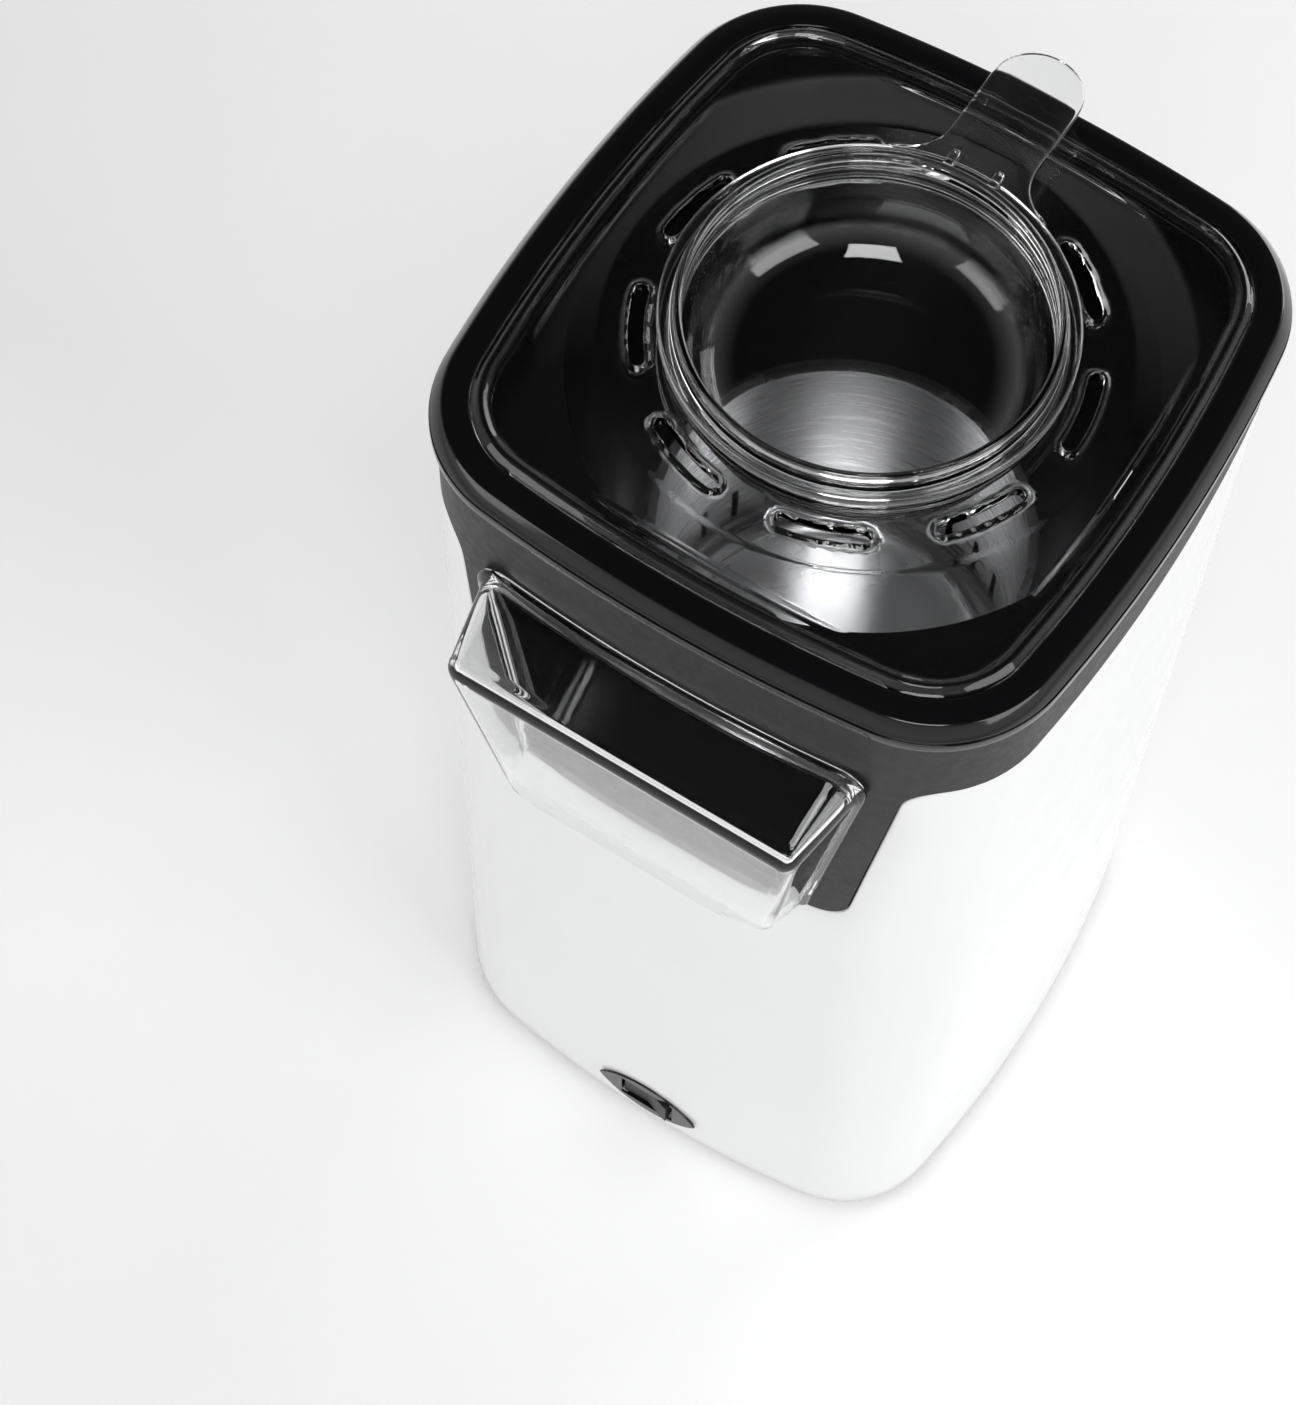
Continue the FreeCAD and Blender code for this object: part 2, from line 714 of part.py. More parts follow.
def make_base_plate():
    """Black base plate with the air intake under the fan, foot seats and screw holes."""
    body = new_body("base_plate")
    plate = sketch_on(body, "XY_Plane", size["base_bottom"])
    base_outline(plate, size["base_inset"])
    pad(body, plate, size["shell_bottom"] - size["base_bottom"] - 0.2)
    inner = sketch_on(body, "XY_Plane", size["base_bottom"])
    base_outline(inner, size["shell_wall"] + size["fit"])
    pad(body, inner, size["base_thick"])
    rim = sketch_on(body, "XY_Plane", size["base_bottom"])
    base_outline(rim, size["shell_wall"] + size["fit"])
    base_outline(rim, size["shell_wall"] + size["fit"] + size["base_rim_wall"])
    pad(body, rim, size["base_thick"] + size["base_rim_high"])
    grille = sketch_on(body, "XY_Plane", size["base_bottom"])
    for ring in range(int(size["grille_rings"].value)):
        start = size["grille_first"] + size["grille_pitch"] * ring
        circle(grille, start)
        circle(grille, start + size["grille_slot"])
    pocket(body, grille, size["base_thick"], reverse=True)
    spokes = sketch_on(body, "XY_Plane", size["base_bottom"])
    reach = size["grille_first"] + size["grille_pitch"] * size["grille_rings"]
    rectangle(spokes, -reach, reach, -size["grille_spoke_wide"] / 2, size["grille_spoke_wide"] / 2)
    spoke = pad(body, spokes, size["base_thick"])
    polar(body, spoke, size["grille_spokes"])
    notches = sketch_on(body, "XY_Plane", base_top)
    reach = size["boss_radius"] + size["fit"]
    inner, outer = size["boss_place_x"], size["base_half_x"]
    for sign in (1, -1):
        y = size["boss_place_y"] if sign > 0 else -size["boss_place_y"]
        rectangle(notches, inner, outer, y - reach, y + reach)
        rectangle(notches, -outer, -inner, y - reach, y + reach)
    pocket(body, notches, size["base_rim_high"], reverse=True)
    seats = sketch_on(body, "XY_Plane", size["base_bottom"])
    four_circles(seats, size["foot_radius"] + size["fit"], size["foot_place_x"], size["foot_place_y"])
    pocket(body, seats, size["foot_seat"], reverse=True)
    holes = sketch_on(body, "XY_Plane", size["base_bottom"])
    boss_circles(holes, size["screw_radius"] + size["fit"])
    leg_circles(holes, size["screw_radius"] + size["fit"])
    pocket(body, holes, size["base_thick"], reverse=True)
    sinks = sketch_on(body, "XY_Plane", size["base_bottom"])
    boss_circles(sinks, size["screw_head_radius"] + size["fit"])
    leg_circles(sinks, size["screw_head_radius"] + size["fit"])
    pocket(body, sinks, size["screw_head_high"], reverse=True)


def leg_circles(sketch, radius):
    """Three circles where the fan housing's legs stand."""
    place = fan_radius - size["fan_leg_inset"]
    for turn_deg in (30, 150, 270):
        angle = math.radians(turn_deg)
        circle(sketch, radius, place * round(math.cos(angle), 9), place * round(math.sin(angle), 9))


def boss_circles(sketch, radius):
    """Four circles under the shell's screw bosses."""
    four_circles(sketch, radius, size["boss_place_x"], size["boss_place_y"])


def make_rubber_feet():
    """Four round rubber feet."""
    body = new_body("rubber_feet")
    pads = sketch_on(body, "XY_Plane")
    four_circles(pads, size["foot_radius"], size["foot_place_x"], size["foot_place_y"])
    pad(body, pads, size["base_bottom"] + size["foot_seat"])


def make_screws(label, circles):
    """Countersunk base screws: a head in the plate and a shank in the boss or leg above."""
    body = new_body(label)
    heads = sketch_on(body, "XY_Plane", size["base_bottom"])
    circles(heads, size["screw_head_radius"])
    pad(body, heads, size["screw_head_high"])
    shanks = sketch_on(body, "XY_Plane", size["base_bottom"])
    circles(shanks, size["screw_radius"])
    pad(body, shanks, size["screw_long"])


# ---------------------------------------------------------------- chute and clear hood

def hood_front_plane(body, set_back):
    """A sketch in the plane of the hood's leaning front, with its v direction up that front."""
    sketch = sketch_on(body, "XZ_Plane", size["hood_front_reach"] - set_back, size["hood_front_top"])
    base = sketch.AttachmentOffset.Base
    turned_by = FreeCAD.Rotation(FreeCAD.Vector(1, 0, 0), size["hood_lean"].value)
    sketch.AttachmentOffset = FreeCAD.Placement(base, turned_by)
    sketch.setExpression("AttachmentOffset.Rotation.Angle", size["hood_lean"].text)
    return sketch


def make_chute_hood():
    """Clear hood over the chute: top, leaning front and side walls, open below and behind."""
    body = new_body("chute_hood")
    neck = size["top_half_y"] - size["shell_wall"] - size["neck_deep"]
    for cut in (False, True):
        inset = size["hood_wall"] if cut else ZERO
        drop = size["hood_open"] if cut else ZERO
        rear = sketch_on(body, "XZ_Plane", neck - (1 if cut else 0))
        mouth_profile(rear, size["hood_wall"] - inset, drop=drop)
        front = hood_front_plane(body, inset)
        corner = size["hood_corner_radius"] - inset / 2
        narrow = size["hood_front_bottom_half"] - inset
        wide = size["hood_front_top_half"] - inset
        low = -size["hood_front_long"] - drop
        outline(front, [(-narrow, low, corner), (narrow, low, corner),
                        (wide, -inset, corner), (-wide, -inset, corner)])
        loft(body, rear, front, cut)


def make_chute():
    """Black trough that carries the popcorn from the bowl's front opening down to the mouth."""
    body = new_body("chute")
    front_y = size["top_half_y"] - size["shell_wall"] - size["chute_set_back"]
    for cut in (False, True):
        inset = size["chute_wall"] if cut else ZERO
        over = 1 if cut else 0
        rear = sketch_on(body, "XZ_Plane", size["chute_rear"] - over)
        trough_profile(rear, size["chute_rear_half"] - inset, size["chute_rear_half"] - inset - 4,
                       size["chute_rear_floor"] + inset, inset)
        front = sketch_on(body, "XZ_Plane", front_y + over)
        trough_profile(front, size["mouth_top_half"] - size["fit"] - inset,
                       size["mouth_bottom_half"] - size["fit"] - inset,
                       size["mouth_bottom"] - size["hood_wall"] + inset, inset)
        loft(body, rear, front, cut)
    low, high = size["chamber_top"] - 20, bowl_flange_top
    slope = (bowl_mouth_radius - bowl_throat) / (bowl_flange_top - bowl_bottom)
    low_radius = bowl_throat + size["bowl_wall"] + size["fit"] + slope * (low - bowl_bottom)
    turned(body, [(ZERO, low), (low_radius, low),
                  (bowl_mouth_radius + size["bowl_wall"] + size["fit"], high), (ZERO, high)], cut=True)
    clear_radius = size["chamber_radius"] + size["chamber_flange"] + 1.5
    clear_top = bowl_bottom + size["bowl_wall"] + size["fit"]
    ring = [(ZERO, low), (clear_radius, low), (clear_radius, clear_top), (ZERO, clear_top)]
    turned(body, ring, cut=True)


def trough_profile(sketch, top_half, bottom_half, floor, inset):
    """A trapezoid with rounded corners, wider above."""
    top = size["mouth_top"] - size["fit"] - inset
    corner = size["mouth_corner_radius"] + 2 - inset / 2
    outline(sketch, [(-bottom_half, floor, corner), (bottom_half, floor, corner), (top_half, top, corner),
                     (-top_half, top, corner)])


def make_inner_bowl():
    """Black funnel under the lid: a flange inside the collar and a cone down to the popping chamber."""
    body = new_body("inner_bowl")
    wall = size["bowl_wall"]
    reach = size["chamber_radius"] + size["chamber_flange"]
    turned(body, [(bowl_throat, bowl_bottom), (reach, bowl_bottom), (reach, bowl_bottom + wall),
                  (bowl_throat + wall, bowl_bottom + wall),
                  (bowl_mouth_radius + wall, bowl_flange_top), (bowl_mouth_radius, bowl_flange_top)])
    flange = sketch_on(body, "XY_Plane", bowl_flange_top - size["bowl_flange_high"])
    top_outline(flange, size["shell_wall"] + size["fit"])
    circle(flange, bowl_mouth_radius)
    pad(body, flange, size["bowl_flange_high"])
    opening = sketch_on(body, "XZ_Plane")
    low = size["chute_rear_floor"] + size["chute_wall"]
    half = size["chute_rear_half"] - size["chute_wall"] - 4
    high = size["mouth_top"] - size["fit"] - size["chute_wall"]
    corner = size["mouth_corner_radius"]
    outline(opening, [(-half, low, corner), (half, low, corner),
                      (half + 2, high, corner), (-half - 2, high, corner)])
    pocket(body, opening, far, reverse=True)


# ---------------------------------------------------------------- top ring, lid window and cup

def make_top_ring():
    """Black ring: skirt, fine line, chamfer and flat top, with a ledge for the window and a spigot below."""
    body = new_body("top_ring")
    low = sketch_on(body, "XY_Plane", ring_chamfer_low)
    ring_outline(low, ZERO)
    high = sketch_on(body, "XY_Plane", ring_top)
    ring_outline(high, size["ring_chamfer_wide"])
    loft(body, low, high)
    rounded_ring(body, ring_line_low, ring_chamfer_low, size["ring_line"], ledge_inset)
    rounded_ring(body, ring_bottom, ring_line_low, ZERO, size["ring_band"])
    window = sketch_on(body, "XY_Plane", lid_bottom)
    ring_outline(window, size["ring_band"])
    pocket(body, window, size["lid_wall"] + 1, reverse=True)
    opening = sketch_on(body, "XY_Plane", ring_bottom)
    ring_outline(opening, ledge_inset)
    pocket(body, opening, ring_top - ring_bottom, reverse=True)
    spigot = size["ring_overhang"] + size["shell_wall"] + size["ring_spigot_gap"]
    spigot_bottom = ring_bottom - size["ring_spigot_deep"]
    rounded_ring(body, spigot_bottom, ring_bottom, spigot, spigot + size["ring_spigot_wall"])


def make_lid_window():
    """Clear window: flat edge with a raised bead, a cone up to a plateau, slots and the cup's hole."""
    body = new_body("lid_window")
    rounded_ring(body, lid_bottom, ring_top, lid_inset, None)
    turned(body, [(ZERO, lid_bottom + 1), (plateau_radius, lid_bottom + 1), (cone_radius, ring_top),
                  (plateau_radius, plateau_top), (ZERO, plateau_top)])
    bead_outer = lid_inset + size["lid_bead_inset"] - size["lid_bead_wide"] / 2
    bead_inner = bead_outer + size["lid_bead_wide"]
    trench = sketch_on(body, "XY_Plane", ring_top)
    ring_outline(trench, ZERO)
    ring_outline(trench, bead_inner + size["lid_channel"])
    pocket(body, trench, size["plateau_high"] + 1, reverse=True)
    rounded_ring(body, ring_top, ring_top + size["lid_bead_high"], bead_outer, bead_inner)
    edge = sketch_on(body, "XY_Plane", lid_bottom)
    ring_outline(edge, ZERO)
    ring_outline(edge, lid_inset)
    pocket(body, edge, size["lid_wall"], reverse=True)
    shrink = size["lid_wall"]
    hollow_top = plateau_top - shrink
    turned(body, [(ZERO, lid_bottom), (cone_radius - 2 * shrink, lid_bottom),
                  (plateau_radius - shrink / 2, hollow_top), (ZERO, hollow_top)], cut=True)
    bore(body, size["cup_radius"] + size["cup_clear"], lid_bottom, plateau_top)
    lip = slot_sketch(body, plateau_top, size["slot_wide"] / 2 + size["slot_lip"])
    polar_slots(body, pad(body, lip, size["slot_lip_high"]))
    hole = slot_sketch(body, lid_bottom, size["slot_wide"] / 2)
    polar_slots(body, pocket(body, hole, plateau_top + size["slot_lip_high"] - lid_bottom, reverse=True))


def slot_sketch(body, height, half_wide):
    """A sketch of one rounded slot along the slot circle, one place to the left of the back."""
    sketch = sketch_on(body, "XY_Plane", height)
    turned_by = as_size(360) / size["slot_places"] + 90
    base = sketch.AttachmentOffset.Base
    sketch.AttachmentOffset = FreeCAD.Placement(
        base, FreeCAD.Rotation(FreeCAD.Vector(0, 0, 1), turned_by.value))
    sketch.setExpression("AttachmentOffset.Rotation.Angle", turned_by.text)
    place, half_long = slot_ring_radius, size["slot_half_long"]
    up = FreeCAD.Vector(0, 0, 1)
    half_turn = math.asin(half_long.value / place.value)
    arcs = []
    for radius in (place + half_wide, place - half_wide):
        whole = Part.Circle(FreeCAD.Vector(0, 0, 0), up, radius.value)
        arc = sketch.addGeometry(Part.ArcOfCircle(whole, -half_turn, half_turn))
        sketch.addConstraint(Sketcher.Constraint("Coincident", arc, 3, -1, 1))
        bind(sketch, "Radius", arc, target=radius)
        arcs.append(arc)
    outer, inner = arcs
    for side in (1, -1):
        x, y = place.value * math.cos(half_turn), side * half_long.value
        first = half_turn if side > 0 else math.pi - half_turn
        whole = Part.Circle(FreeCAD.Vector(x, y, 0), up, half_wide.value)
        cap = sketch.addGeometry(Part.ArcOfCircle(whole, first, first + math.pi))
        bind(sketch, "DistanceY", -1, 1, cap, 3, target=half_long if side > 0 else -half_long)
        meets = ((1, outer), (2, inner)) if side > 0 else ((1, inner), (2, outer))
        for end, arc in meets:
            sketch.addConstraint(Sketcher.Constraint("Tangent", cap, end, arc, 2 if side > 0 else 1))
    return sketch


def polar_slots(body, original):
    """Repeat a slot at every place but the one at the back."""
    made = polar(body, original, size["slot_places"] - 1)
    made.Angle = 360.0 * (size["slot_places"].value - 2) / size["slot_places"].value
    made.setExpression("Angle", f"360 * ({size['slot_places'].text} - 2) / {size['slot_places'].text}")


def make_cup():
    """Clear measuring cup: round bowl, flange rim, seat on the lid and a flat tab handle at the back."""
    body = new_body("measuring_cup")
    wall = size["cup_wall"]
    floor = cup_top - size["cup_depth"]
    rim_high = cup_top - size["cup_lip_high"]
    rim_low = rim_high - size["cup_rim_high"]
    outer, inner = size["cup_radius"], size["cup_radius"] - wall
    turned(body, [(ZERO, floor), (outer, floor, size["cup_floor_radius"]), (outer, plateau_top),
                  (cup_seat_radius, plateau_top), (cup_seat_radius, plateau_top + size["cup_seat_high"]),
                  (outer, plateau_top + size["cup_seat_high"]), (outer, rim_low), (cup_rim_radius, rim_low),
                  (cup_rim_radius, rim_high, 1), (outer, rim_high), (outer, cup_top),
                  (inner, cup_top), (inner, floor + wall, size["cup_floor_radius"] - wall),
                  (ZERO, floor + wall)])
    tab_top = rim_high - 0.4
    tab = sketch_on(body, "XY_Plane", tab_top - size["tab_thick"])
    half, root, reach = size["tab_half_wide"], size["tab_root_half"], size["tab_reach"]
    near = size["cup_radius"] - wall / 2
    knee = cup_rim_radius + 1
    outline(tab, [(root + 4, near), (half, knee, 12), (half, reach, half - 0.2), (-half, reach, half - 0.2),
                  (-half, knee, 12), (-root - 4, near)])
    pad(body, tab, size["tab_thick"])
    nubs = sketch_on(body, "XY_Plane", rim_high - 1)
    for sign in (1, -1):
        middle = size["nub_half_spacing"] if sign > 0 else -size["nub_half_spacing"]
        half = size["nub_wide"] / 2
        rectangle(nubs, middle - half, middle + half, near, cup_rim_radius + 0.6)
    pad(body, nubs, size["nub_high"] + 1)


# ---------------------------------------------------------------- popping chamber and heater

def make_popping_chamber():
    """Aluminium chamber with a rolled flange and a ring of air louvres near its floor."""
    body = new_body("popping_chamber")
    outer, wall = size["chamber_radius"], size["chamber_wall"]
    low, high = size["chamber_bottom"], size["chamber_top"]
    reach = outer + size["chamber_flange"]
    turned(body, [(ZERO, low), (outer, low, size["chamber_corner_radius"]), (outer, high), (reach, high),
                  (reach, high + wall), (outer - wall, high + wall),
                  (outer - wall, low + wall, size["chamber_corner_radius"] - wall), (ZERO, low + wall)])
    slot = sketch_on(body, "XZ_Plane", outer + 4)
    rectangle(slot, -size["louvre_wide"] / 2, size["louvre_wide"] / 2, size["louvre_bottom"],
              size["louvre_bottom"] + size["louvre_high"])
    polar(body, pocket(body, slot, as_size(8)), size["louvre_count"])


def make_ring(label, inner, outer, bottom, top):
    """A plain turned ring."""
    body = new_body(label)
    turned(body, [(inner, bottom), (outer, bottom), (outer, top), (inner, top)])
    return body


def make_heater_can():
    """Steel can that guides the hot air from the fan housing up round the chamber."""
    body = new_body("heater_can")
    outer = heater_can_radius
    inner = outer - size["heater_can_wall"]
    high = size["chamber_top"] - size["heater_can_lift"]
    turned(body, [(inner, fan_top), (fan_radius, fan_top), (fan_radius, fan_top + size["heater_can_wall"]),
                  (outer, fan_top + size["heater_can_wall"]), (outer, high), (inner, high)])


def make_mica_board(label, plane, slot_low, slot_high):
    """One of two crossed boards that carry the heater coil; each is slotted over the other."""
    body = new_body(label)
    board = sketch_on(body, plane)
    half, low = mica_half, size["mica_bottom"]
    rectangle(board, -half, half, low, low + size["mica_high"])
    pad(body, board, size["mica_thick"], both=True)
    slot = sketch_on(body, plane)
    gap = size["mica_thick"] / 2 + size["mica_slot_gap"]
    rectangle(slot, -gap, gap, slot_low, slot_high)
    pocket(body, slot, size["mica_thick"] * 2, both=True)


def make_heater_coil():
    """Resistance wire in rings on top of the mica boards."""
    body = new_body("heater_coil")
    sketch = sketch_on(body, "XZ_Plane")
    height = size["mica_bottom"] + size["mica_high"] + size["coil_wire_radius"]
    for ring in range(int(size["coil_turns"].value)):
        circle(sketch, size["coil_wire_radius"], size["coil_first"] + size["coil_pitch"] * ring, height)
    turn(body, sketch)


def make_thermostat():
    """Bimetal thermostat on the side of the heater can."""
    body = new_body("thermostat")
    height = (fan_top + size["chamber_bottom"]) / 2
    cap = sketch_on(body, "YZ_Plane", heater_can_radius + 0.2)
    circle(cap, size["thermostat_radius"], ZERO, height)
    pad(body, cap, size["thermostat_deep"])
    tabs = sketch_on(body, "YZ_Plane", heater_can_radius + size["thermostat_deep"])
    for sign in (1, -1):
        middle = 3.6 * sign
        rectangle(tabs, middle - 0.5, middle + 0.5, height - 2.4, height + 2.4)
    pad(body, tabs, size["thermostat_tab_long"])


def make_thermal_fuse():
    """One-shot thermal fuse beside the heater can."""
    body = new_body("thermal_fuse")
    low = (fan_top + size["chamber_bottom"]) / 2
    sketch = sketch_on(body, "XY_Plane", low)
    circle(sketch, size["fuse_radius"], -heater_can_radius - size["fuse_radius"] - 0.2, ZERO)
    pad(body, sketch, size["fuse_long"])


# ---------------------------------------------------------------- fan and motor

def make_fan_housing():
    """Open pot round the impeller, with air inlets in its floor and three legs to the base plate."""
    body = new_body("fan_housing")
    floor, top = size["fan_floor"], fan_top
    inner_floor = floor + size["fan_floor_thick"]
    outer = fan_radius
    hole = size["bush_radius"] + 1
    turned(body, [(hole, floor), (outer, floor), (outer, top), (outer - size["fan_wall"], top),
                  (outer - size["fan_wall"], inner_floor), (hole, inner_floor)])
    inlets = sketch_on(body, "XY_Plane", floor)
    circle(inlets, size["fan_inlet_inner"])
    circle(inlets, size["fan_inlet_outer"])
    pocket(body, inlets, size["fan_floor_thick"], reverse=True)
    spokes = sketch_on(body, "XY_Plane", floor)
    rectangle(spokes, size["fan_inlet_inner"] - 1, size["fan_inlet_outer"] + 1,
              -size["grille_spoke_wide"] / 2, size["grille_spoke_wide"] / 2)
    polar(body, pad(body, spokes, size["fan_floor_thick"]), size["grille_spokes"])
    legs = sketch_on(body, "XY_Plane", base_top)
    leg_circles(legs, size["fan_leg_radius"])
    pad(body, legs, floor - base_top)
    screws = sketch_on(body, "XY_Plane", base_top)
    leg_circles(screws, size["screw_radius"])
    pocket(body, screws, size["screw_long"] - size["base_thick"], reverse=True)
    mounts = sketch_on(body, "XY_Plane", floor)
    motor_screw_circles(mounts, size["screw_radius"])
    pocket(body, mounts, size["fan_floor_thick"], reverse=True)


def motor_screw_circles(sketch, radius):
    """Two circles where the motor's screws sit."""
    for sign in (1, -1):
        circle(sketch, radius, sign * (size["bush_radius"] + size["motor_radius"]) / 2, ZERO)


def make_motor_screws():
    """Two screws that hang the motor from the fan housing's floor."""
    body = new_body("motor_screws")
    heads = sketch_on(body, "XY_Plane", size["fan_floor"] + size["fan_floor_thick"])
    motor_screw_circles(heads, size["screw_head_radius"])
    pad(body, heads, size["screw_head_high"])
    low = motor_top - size["motor_wall"]
    shanks = sketch_on(body, "XY_Plane", low)
    motor_screw_circles(shanks, size["screw_radius"])
    pad(body, shanks, size["fan_floor"] + size["fan_floor_thick"] - low)


def make_motor():
    """Motor can, end cap, bushes, magnets, armature, commutator and shaft."""
    radius, wall = size["motor_radius"], size["motor_wall"]
    can = new_body("motor_can")
    bush = size["bush_radius"]
    turned(can, [(bush, motor_top - wall), (radius - wall, motor_top - wall), (radius - wall, motor_bottom),
                 (radius, motor_bottom), (radius, motor_top), (bush, motor_top)])
    holes = sketch_on(can, "XY_Plane", motor_top - wall)
    motor_screw_circles(holes, size["screw_radius"])
    pocket(can, holes, wall, reverse=True)
    make_ring("motor_end_cap", bush, radius, cap_bottom, motor_bottom)
    bushes = new_body("motor_bushes")
    for top in (motor_top, motor_bottom):
        turned(bushes, [(shaft_clear, top - size["bush_high"]), (bush, top - size["bush_high"]), (bush, top),
                        (shaft_clear, top)])
    make_motor_magnets()
    core_bottom = motor_bottom + size["commutator_high"] + 3
    armature = make_ring("armature", size["shaft_radius"], size["armature_radius"], core_bottom,
                         core_bottom + size["armature_high"])
    slot = sketch_on(armature, "XY_Plane", core_bottom)
    rectangle(slot, size["armature_radius"] - 6, size["armature_radius"] + 1, -size["armature_slot_wide"] / 2,
              size["armature_slot_wide"] / 2)
    polar(armature, pocket(armature, slot, size["armature_high"], reverse=True), size["armature_slots"])
    make_ring("commutator", size["shaft_radius"], size["commutator_radius"], motor_bottom + 2,
              motor_bottom + 2 + size["commutator_high"])
    shaft = new_body("motor_shaft")
    rod = sketch_on(shaft, "XY_Plane", cap_bottom - 1)
    circle(rod, size["shaft_radius"])
    pad(shaft, rod, impeller_bottom + size["impeller_high"] + 2 - cap_bottom)


def make_motor_magnets():
    """Two curved magnets against the inside of the motor can."""
    body = new_body("motor_magnets")
    outer = size["motor_radius"] - size["motor_wall"] - size["magnet_gap"]
    middle = (motor_top + motor_bottom) / 2
    sketch = sketch_on(body, "XZ_Plane")
    rectangle(sketch, outer - size["magnet_thick"], outer, middle - size["magnet_high"] / 2,
              middle + size["magnet_high"] / 2)
    made = feature(body, "Revolution", sketch, ReferenceAxis=(sketch, ["V_Axis"]), Midplane=True,
                   Angle=2 * size["magnet_half_angle"].value)
    made.setExpression("Angle", (2 * size["magnet_half_angle"]).text)
    mirror(body, [made], "YZ_Plane")


def make_impeller():
    """Fan wheel: back disc, hub on the shaft and a ring of blades."""
    body = new_body("impeller")
    hub, disc = size["impeller_hub_radius"], size["impeller_disc"]
    top = impeller_bottom + size["impeller_high"]
    turned(body, [(size["shaft_radius"], impeller_bottom), (impeller_radius, impeller_bottom),
                  (impeller_radius, impeller_bottom + disc), (hub, impeller_bottom + disc), (hub, top),
                  (size["shaft_radius"], top)])
    blade = sketch_on(body, "XY_Plane", impeller_bottom + disc / 2)
    rectangle(blade, size["blade_inner"], impeller_radius - 3, hub - size["blade_thick"], hub)
    polar(body, pad(body, blade, size["impeller_high"] - disc / 2), size["blade_count"])


def make_rectifier():
    """Round circuit board under the motor with four diodes beneath it."""
    top = cap_bottom - size["board_gap"]
    bottom = top - size["board_thick"]
    make_ring("rectifier_board", size["shaft_radius"] + 1, size["board_radius"], bottom, top)
    body = new_body("rectifier_diodes")
    sketch = sketch_on(body, "XY_Plane", bottom - size["diode_high"])
    for sign_x in (1, -1):
        for sign_y in (1, -1):
            x = 8.0 * sign_x
            y = 6.0 * sign_y
            rectangle(sketch, x - 2.6, x + 2.6, y - 1.4, y + 1.4)
    pad(body, sketch, size["diode_high"])


# ---------------------------------------------------------------- switch, cord inlet and terminals

def make_switch():
    """Lens-shaped surround, tipping rocker on a pin, and the switch body with its terminals."""
    height = size["switch_height"]
    face = size["base_half_y"]
    bezel = new_body("switch_bezel")
    flange = sketch_on(bezel, "XZ_Plane", face)
    lens(flange, size["switch_half_wide"], size["switch_half_high"], height)
    pad(bezel, flange, size["switch_proud"])
    plug = sketch_on(bezel, "XZ_Plane", face)
    shrink = size["switch_flange"] + size["fit"]
    lens(plug, size["switch_half_wide"] - shrink, size["switch_half_high"] - shrink, height)
    pad(bezel, plug, size["rocker_deep"] + 1, reverse=True)
    cavity = sketch_on(bezel, "XZ_Plane", face + size["switch_proud"])
    rectangle(cavity, -size["switch_cavity_half_wide"], size["switch_cavity_half_wide"],
              height - size["switch_cavity_half_high"], height + size["switch_cavity_half_high"])
    pocket(bezel, cavity, size["rocker_deep"] + 2)
    pivot = face - size["rocker_deep"] / 2
    pin_hole = sketch_on(bezel, "XY_Plane", height)
    circle(pin_hole, size["pin_radius"] + size["running_gap"], ZERO, -pivot)
    pocket(bezel, pin_hole, 2 * (size["rocker_half_high"] + size["pin_long"] + 0.1), both=True)
    rocker = new_body("rocker")
    wide, deep = size["rocker_half_wide"], size["rocker_deep"]
    block = sketch_on(rocker, "XY_Plane", height)
    outline(block, [(-wide, -deep / 2 - 0.8), (ZERO, -deep / 2 + 0.5), (wide, -deep / 2 - 0.8),
                    (wide - 0.8, deep / 2), (0.8 - wide, deep / 2)])
    pad(rocker, block, 2 * size["rocker_half_high"], both=True)
    pins = sketch_on(rocker, "XY_Plane", height)
    circle(pins, size["pin_radius"])
    pad(rocker, pins, 2 * (size["rocker_half_high"] + size["pin_long"]), both=True)
    rocker.Placement = FreeCAD.Placement(
        FreeCAD.Vector(0, (middle_shift - pivot).value, 0),
        FreeCAD.Rotation(FreeCAD.Vector(0, 0, 1), -size["rocker_tilt"].value))
    rocker.setExpression("Placement.Base.y", (middle_shift - pivot).text)
    rocker.setExpression("Placement.Rotation.Angle", (-size["rocker_tilt"]).text)
    back = face - size["rocker_deep"] - 1 - size["fit"]
    box = new_body("switch_body")
    front = sketch_on(box, "XZ_Plane", back)
    half_wide = size["switch_cavity_half_wide"] + size["switch_body_wall"]
    half_high = size["switch_cavity_half_high"] + size["switch_body_wall"]
    rectangle(front, -half_wide, half_wide, height - half_high, height + half_high)
    pad(box, front, size["switch_body_deep"], reverse=True)
    tabs = new_body("switch_terminals")
    ends = sketch_on(tabs, "XZ_Plane", back - size["switch_body_deep"])
    for sign in (1, -1):
        middle = sign * size["switch_tab_pitch"] / 2 * 1.6
        rectangle(ends, middle - size["switch_tab_thick"] / 2, middle + size["switch_tab_thick"] / 2,
                  height - size["switch_tab_wide"] / 2, height + size["switch_tab_wide"] / 2)
    pad(tabs, ends, size["switch_tab_long"], reverse=True)


def make_cord_inlet():
    """Round bush in the rear wall where a cord would enter."""
    body = new_body("cord_inlet")
    face = size["base_half_y"]
    barrel = sketch_on(body, "XZ_Plane", -face)
    circle(barrel, size["inlet_radius"] - 0.1, ZERO, size["inlet_height"])
    pad(body, barrel, size["shell_wall"] + 3)
    flange = sketch_on(body, "XZ_Plane", -face)
    circle(flange, size["inlet_flange"], ZERO, size["inlet_height"])
    pad(body, flange, size["inlet_flange_thick"], reverse=True)
    hole = sketch_on(body, "XZ_Plane", -face - size["inlet_flange_thick"])
    circle(hole, size["inlet_bore"], ZERO, size["inlet_height"])
    pocket(body, hole, size["shell_wall"] + 8, reverse=True)


